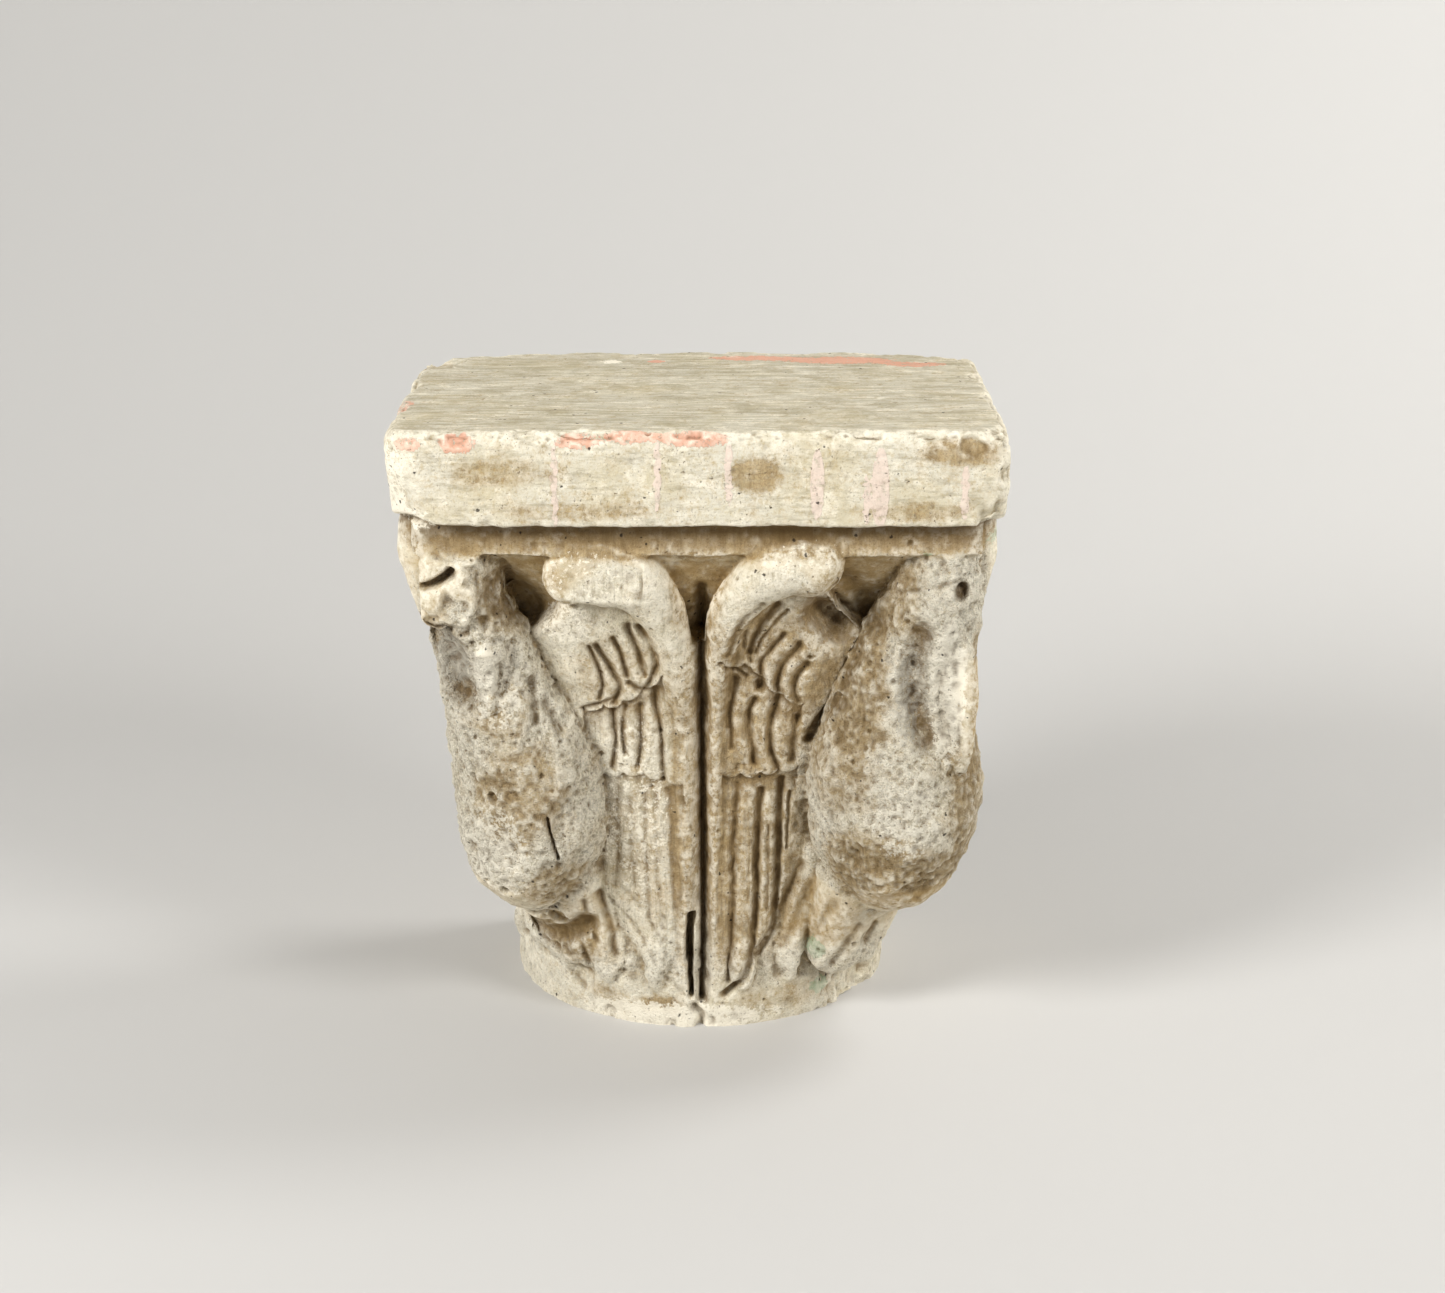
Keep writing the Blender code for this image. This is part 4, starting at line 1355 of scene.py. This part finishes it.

        # Dust brushed in streaks over the top, drag marks across the slab, dirt in hollows and grooves, and
        # painted shade under the slab
        brushing = weighed((span(streak, 0.38, 0.6, 0.48), 1.0), (span(band, 0.42, 0.62, 0.26), 1.0),
                           (0.05, 1.0))
        dirty = coated(
            worn,
            (self.dust, times(top, brushing)),
            (self.dust, times(layer("slab"), span(drag, 0.46, 0.68, 0.5))),
            (self.dust, times(layer(Part.WING.value), span(hang, 0.5, 0.64, 0.5))),
            (self.ochre, times(hollow, span(cloud, 0.25, 0.6, 0.6))),
            (self.ochre, times(brown, span(cloud, 0.3, 0.6, 0.4))),
            (self.umber, times(brown, span(hang, 0.38, 0.66, 0.5))),
            (self.umber, times(groove, span(spot, 0.2, 0.6, 0.65))),
            (self.ochre, times(sandy, span(crumb, 0.46, 0.38, 0.4))),
            (self.umber, times(sandy, span(crumb, 0.41, 0.34, 0.5))),
            (self.umber, span(sand, 0.41, 0.31, 0.4)),
            # Painted shade: umber darkens the band under the slab's overhang
            (self.umber, times(layer("under"), 0.8)),
            (self.ochre, times(layer(Part.HOLLOW.value), span(cloud, 0.3, 0.6, 0.45))),
        )

        # Broken, painted and rubbed places, and a painted highlight on raised points
        run = times(span(layer(Tint.DRIP.value), 0.42, 0.56), span(spot, 0.3, 0.5, 0.85))
        pink = painted(Tint.PINK, 1.05, 1.08)
        marked = coated(
            dirty,
            (self.grey, times(painted(Tint.GREY, 0.98, 1.08), 0.8)),
            (self.pale, times(painted(Tint.WHITE, 0.98, 1.08), 0.8)),
            (self.drip, run),
            (self.pink, times(pink, 0.85)),
            (self.green, times(painted(Tint.GREEN, 1.02, 1.08), 0.7)),
            # Rubbed plaster on raised points, also a painted highlight there
            (self.pale, times(layer("proud"), span(spot, 0.35, 0.6, 0.7))),
        )

        # Pores: irregular specks, and a few round air holes, filled with painted shade
        speck = times(span(grain(1.5, 2, 0.5), 0.34, 0.28), span(cloud, 0.38, 0.6, 0.8))
        wander = node("TexNoise", {"Vector": place, "Scale": 1 / (3 * MM), "Detail": 2.0}, "Color")
        wandered = node("VectorMath", {0: wander, 1: (2.4 * MM,) * 3, 2: place}, operation="MULTIPLY_ADD")
        holes = node("TexVoronoi", {"Vector": wandered, "Scale": 1 / (9 * MM), "Randomness": 1.0},
                     "Distance")
        pore = span(math("SUBTRACT", span(cloud, 0.4, 0.6, 0.13), holes, clamped=True), 0.0, 0.04)
        # The black in the air holes is painted shade
        colour = coated(marked, (self.umber, times(layer("pit"), 0.6)), (self.umber, times(speck, 0.8)),
                        (self.hole_shade, times(pore, 0.85)))

        # Relief too fine for the mesh: height, strength, millimetres and whether it is sunk
        grains = weighed((spot, 0.6), (crumb, 1.0), (sand, 0.7), (dust, 0.35))
        relief = (
            (grains, weighed((0.35, 1.0), (sandy, 0.65)), 2.6, False),
            (times(streak, top), 0.5, 0.8, False),
            (flaked_off, 0.5, 0.5, True),
            (math("MAXIMUM", pore, speck, clamped=True), 0.8, 0.9, True),
            (math("MAXIMUM", pink, run, clamped=True), 0.6, 0.5, False),
        )
        normal = {}
        for height, strength, millimetres, sunk in relief:
            inputs = {"Height": height, "Strength": strength, "Distance": millimetres * MM, **normal}
            normal = {"Normal": node("Bump", inputs, invert=sunk)}
        shader = node("BsdfPrincipled", {"Base Color": colour, "Roughness": self.roughness, "IOR": self.ior,
                                         "Specular IOR Level": 0.3, "Metallic": 0.0, **normal})
        add_node(tree, "ShaderNodeOutputMaterial", {"Surface": shader})
        return made


@dataclass(frozen=True)
class Studio:
    """Pale seamless paper and a soft light from the upper left and from the upper right.

    Args:
        paper: Colour of the paper.
        lens: Focal length for a 36 mm sensor, as the photograph's perspective gives.
        eye: The camera's place in metres.
        pitch: How far it looks down, in degrees.
        sweep_start: Where the paper starts to curve up, in metres behind the middle.
        sweep_radius: The curve's radius.
        half_width: Half the paper's width.
        room: Colour of the room's even glow.
        glow: Strength of the glow.
        lamps: For each soft light its name, place, aim, width in metres and watts.
    """

    paper: str = "C6C4C0"
    lens: float = 64.78
    eye: Sequence[float] = (0.013, -1.440, 0.640)
    pitch: float = 17.33
    sweep_start: float = 0.45
    sweep_radius: float = 0.9
    half_width: float = 4.0
    room: str = "F4F3F1"
    glow: float = 0.13
    lamps: Sequence[Sequence[Any]] = (
        ("left_box", (-1.5, -1.35, 1.3), (0.0, -0.05, 0.18), 0.8, 48.5),
        ("right_box", (1.5, -1.35, 1.3), (0.0, -0.05, 0.18), 0.8, 28.5),
        ("backdrop", (1.6, 0.5, 2.1), (0.9, 1.5, 0.75), 1.0, 38.0),
    )

    def floor(self) -> bpy.types.Object:
        """Make the paper: flat under the object, curved up behind it.

        Returns:
            The paper.
        """
        line = [(-4.0, 0.0), (self.sweep_start, 0.0)]
        for t in np.linspace(0, pi / 2, 24)[1:]:
            line.append((self.sweep_start + self.sweep_radius * sin(t), self.sweep_radius * (1 - cos(t))))
        line.append((self.sweep_start + self.sweep_radius, 4.0))
        body = bmesh.new()
        rows = [[body.verts.new((x, y, z)) for x in (-self.half_width, self.half_width)] for y, z in line]
        for before, after in zip(rows, rows[1:]):
            body.faces.new((before[0], before[1], after[1], after[0]))
        mesh = bpy.data.meshes.new("paper")
        body.to_mesh(mesh)
        body.free()
        mesh.shade_smooth()
        material = bpy.data.materials.new("seamless_paper")
        material.use_nodes = True
        shader = material.node_tree.nodes["Principled BSDF"]
        shader.inputs["Base Color"].default_value = linear(self.paper)
        shader.inputs["Roughness"].default_value = 0.9
        shader.inputs["Specular IOR Level"].default_value = 0.1
        mesh.materials.append(material)
        return stand("paper", mesh)

    def light(self) -> None:
        """Hang the soft lights and set the room's even glow."""
        for name, place, aim, size, watts in self.lamps:
            light = bpy.data.lights.new(name, "AREA")
            light.shape = "DISK"
            light.size = size
            light.energy = watts
            lamp = stand(name, light)
            lamp.location = place
            lamp.rotation_euler = (Vector(aim) - Vector(place)).to_track_quat("-Z", "Y").to_euler()
        world = bpy.data.worlds.new("room")
        world.use_nodes = True
        background = world.node_tree.nodes["Background"]
        background.inputs["Color"].default_value = linear(self.room)
        background.inputs["Strength"].default_value = self.glow
        bpy.context.scene.world = world

    def camera(self) -> None:
        """Stand the camera where the photograph was taken from."""
        data = bpy.data.cameras.new("camera")
        data.lens = self.lens
        data.sensor_width = 36.0
        data.sensor_fit = "HORIZONTAL"
        camera = stand("camera", data)
        camera.location = self.eye
        camera.rotation_euler = (radians(90 - self.pitch), 0.0, 0.0)
        bpy.context.scene.camera = camera


def main() -> None:
    """Make the cast, its finish and the studio round it."""
    logging.basicConfig(level=logging.INFO, format="%(name)s: %(message)s")
    bell = Bell()
    carving = Carving(Grain(3))
    wear = Wear(Grain(5), Grain(7), (LEFT_BIRD, RIGHT_BIRD), bell.wing)
    forms = (bell, Abacus(), Wings(), RIGHT_BIRD, LEFT_BIRD, WornHead())
    cast = Plaster(forms, carving, wear).made("worn_capital")
    log.info("cast: %d faces", len(cast.data.polygons))
    Stains(carving, wear).write(cast)
    cast.data.materials.clear()
    cast.data.materials.append(PlasterFinish().material())
    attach(cast, "root")
    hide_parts("capital")
    log.info("stains and finish: done")

    studio = Studio()
    paper = studio.floor()
    studio.light()
    studio.camera()
    bpy.context.scene.view_settings.view_transform = "Standard"
    log.info("studio: done")


if __name__ == "__main__":
    main()
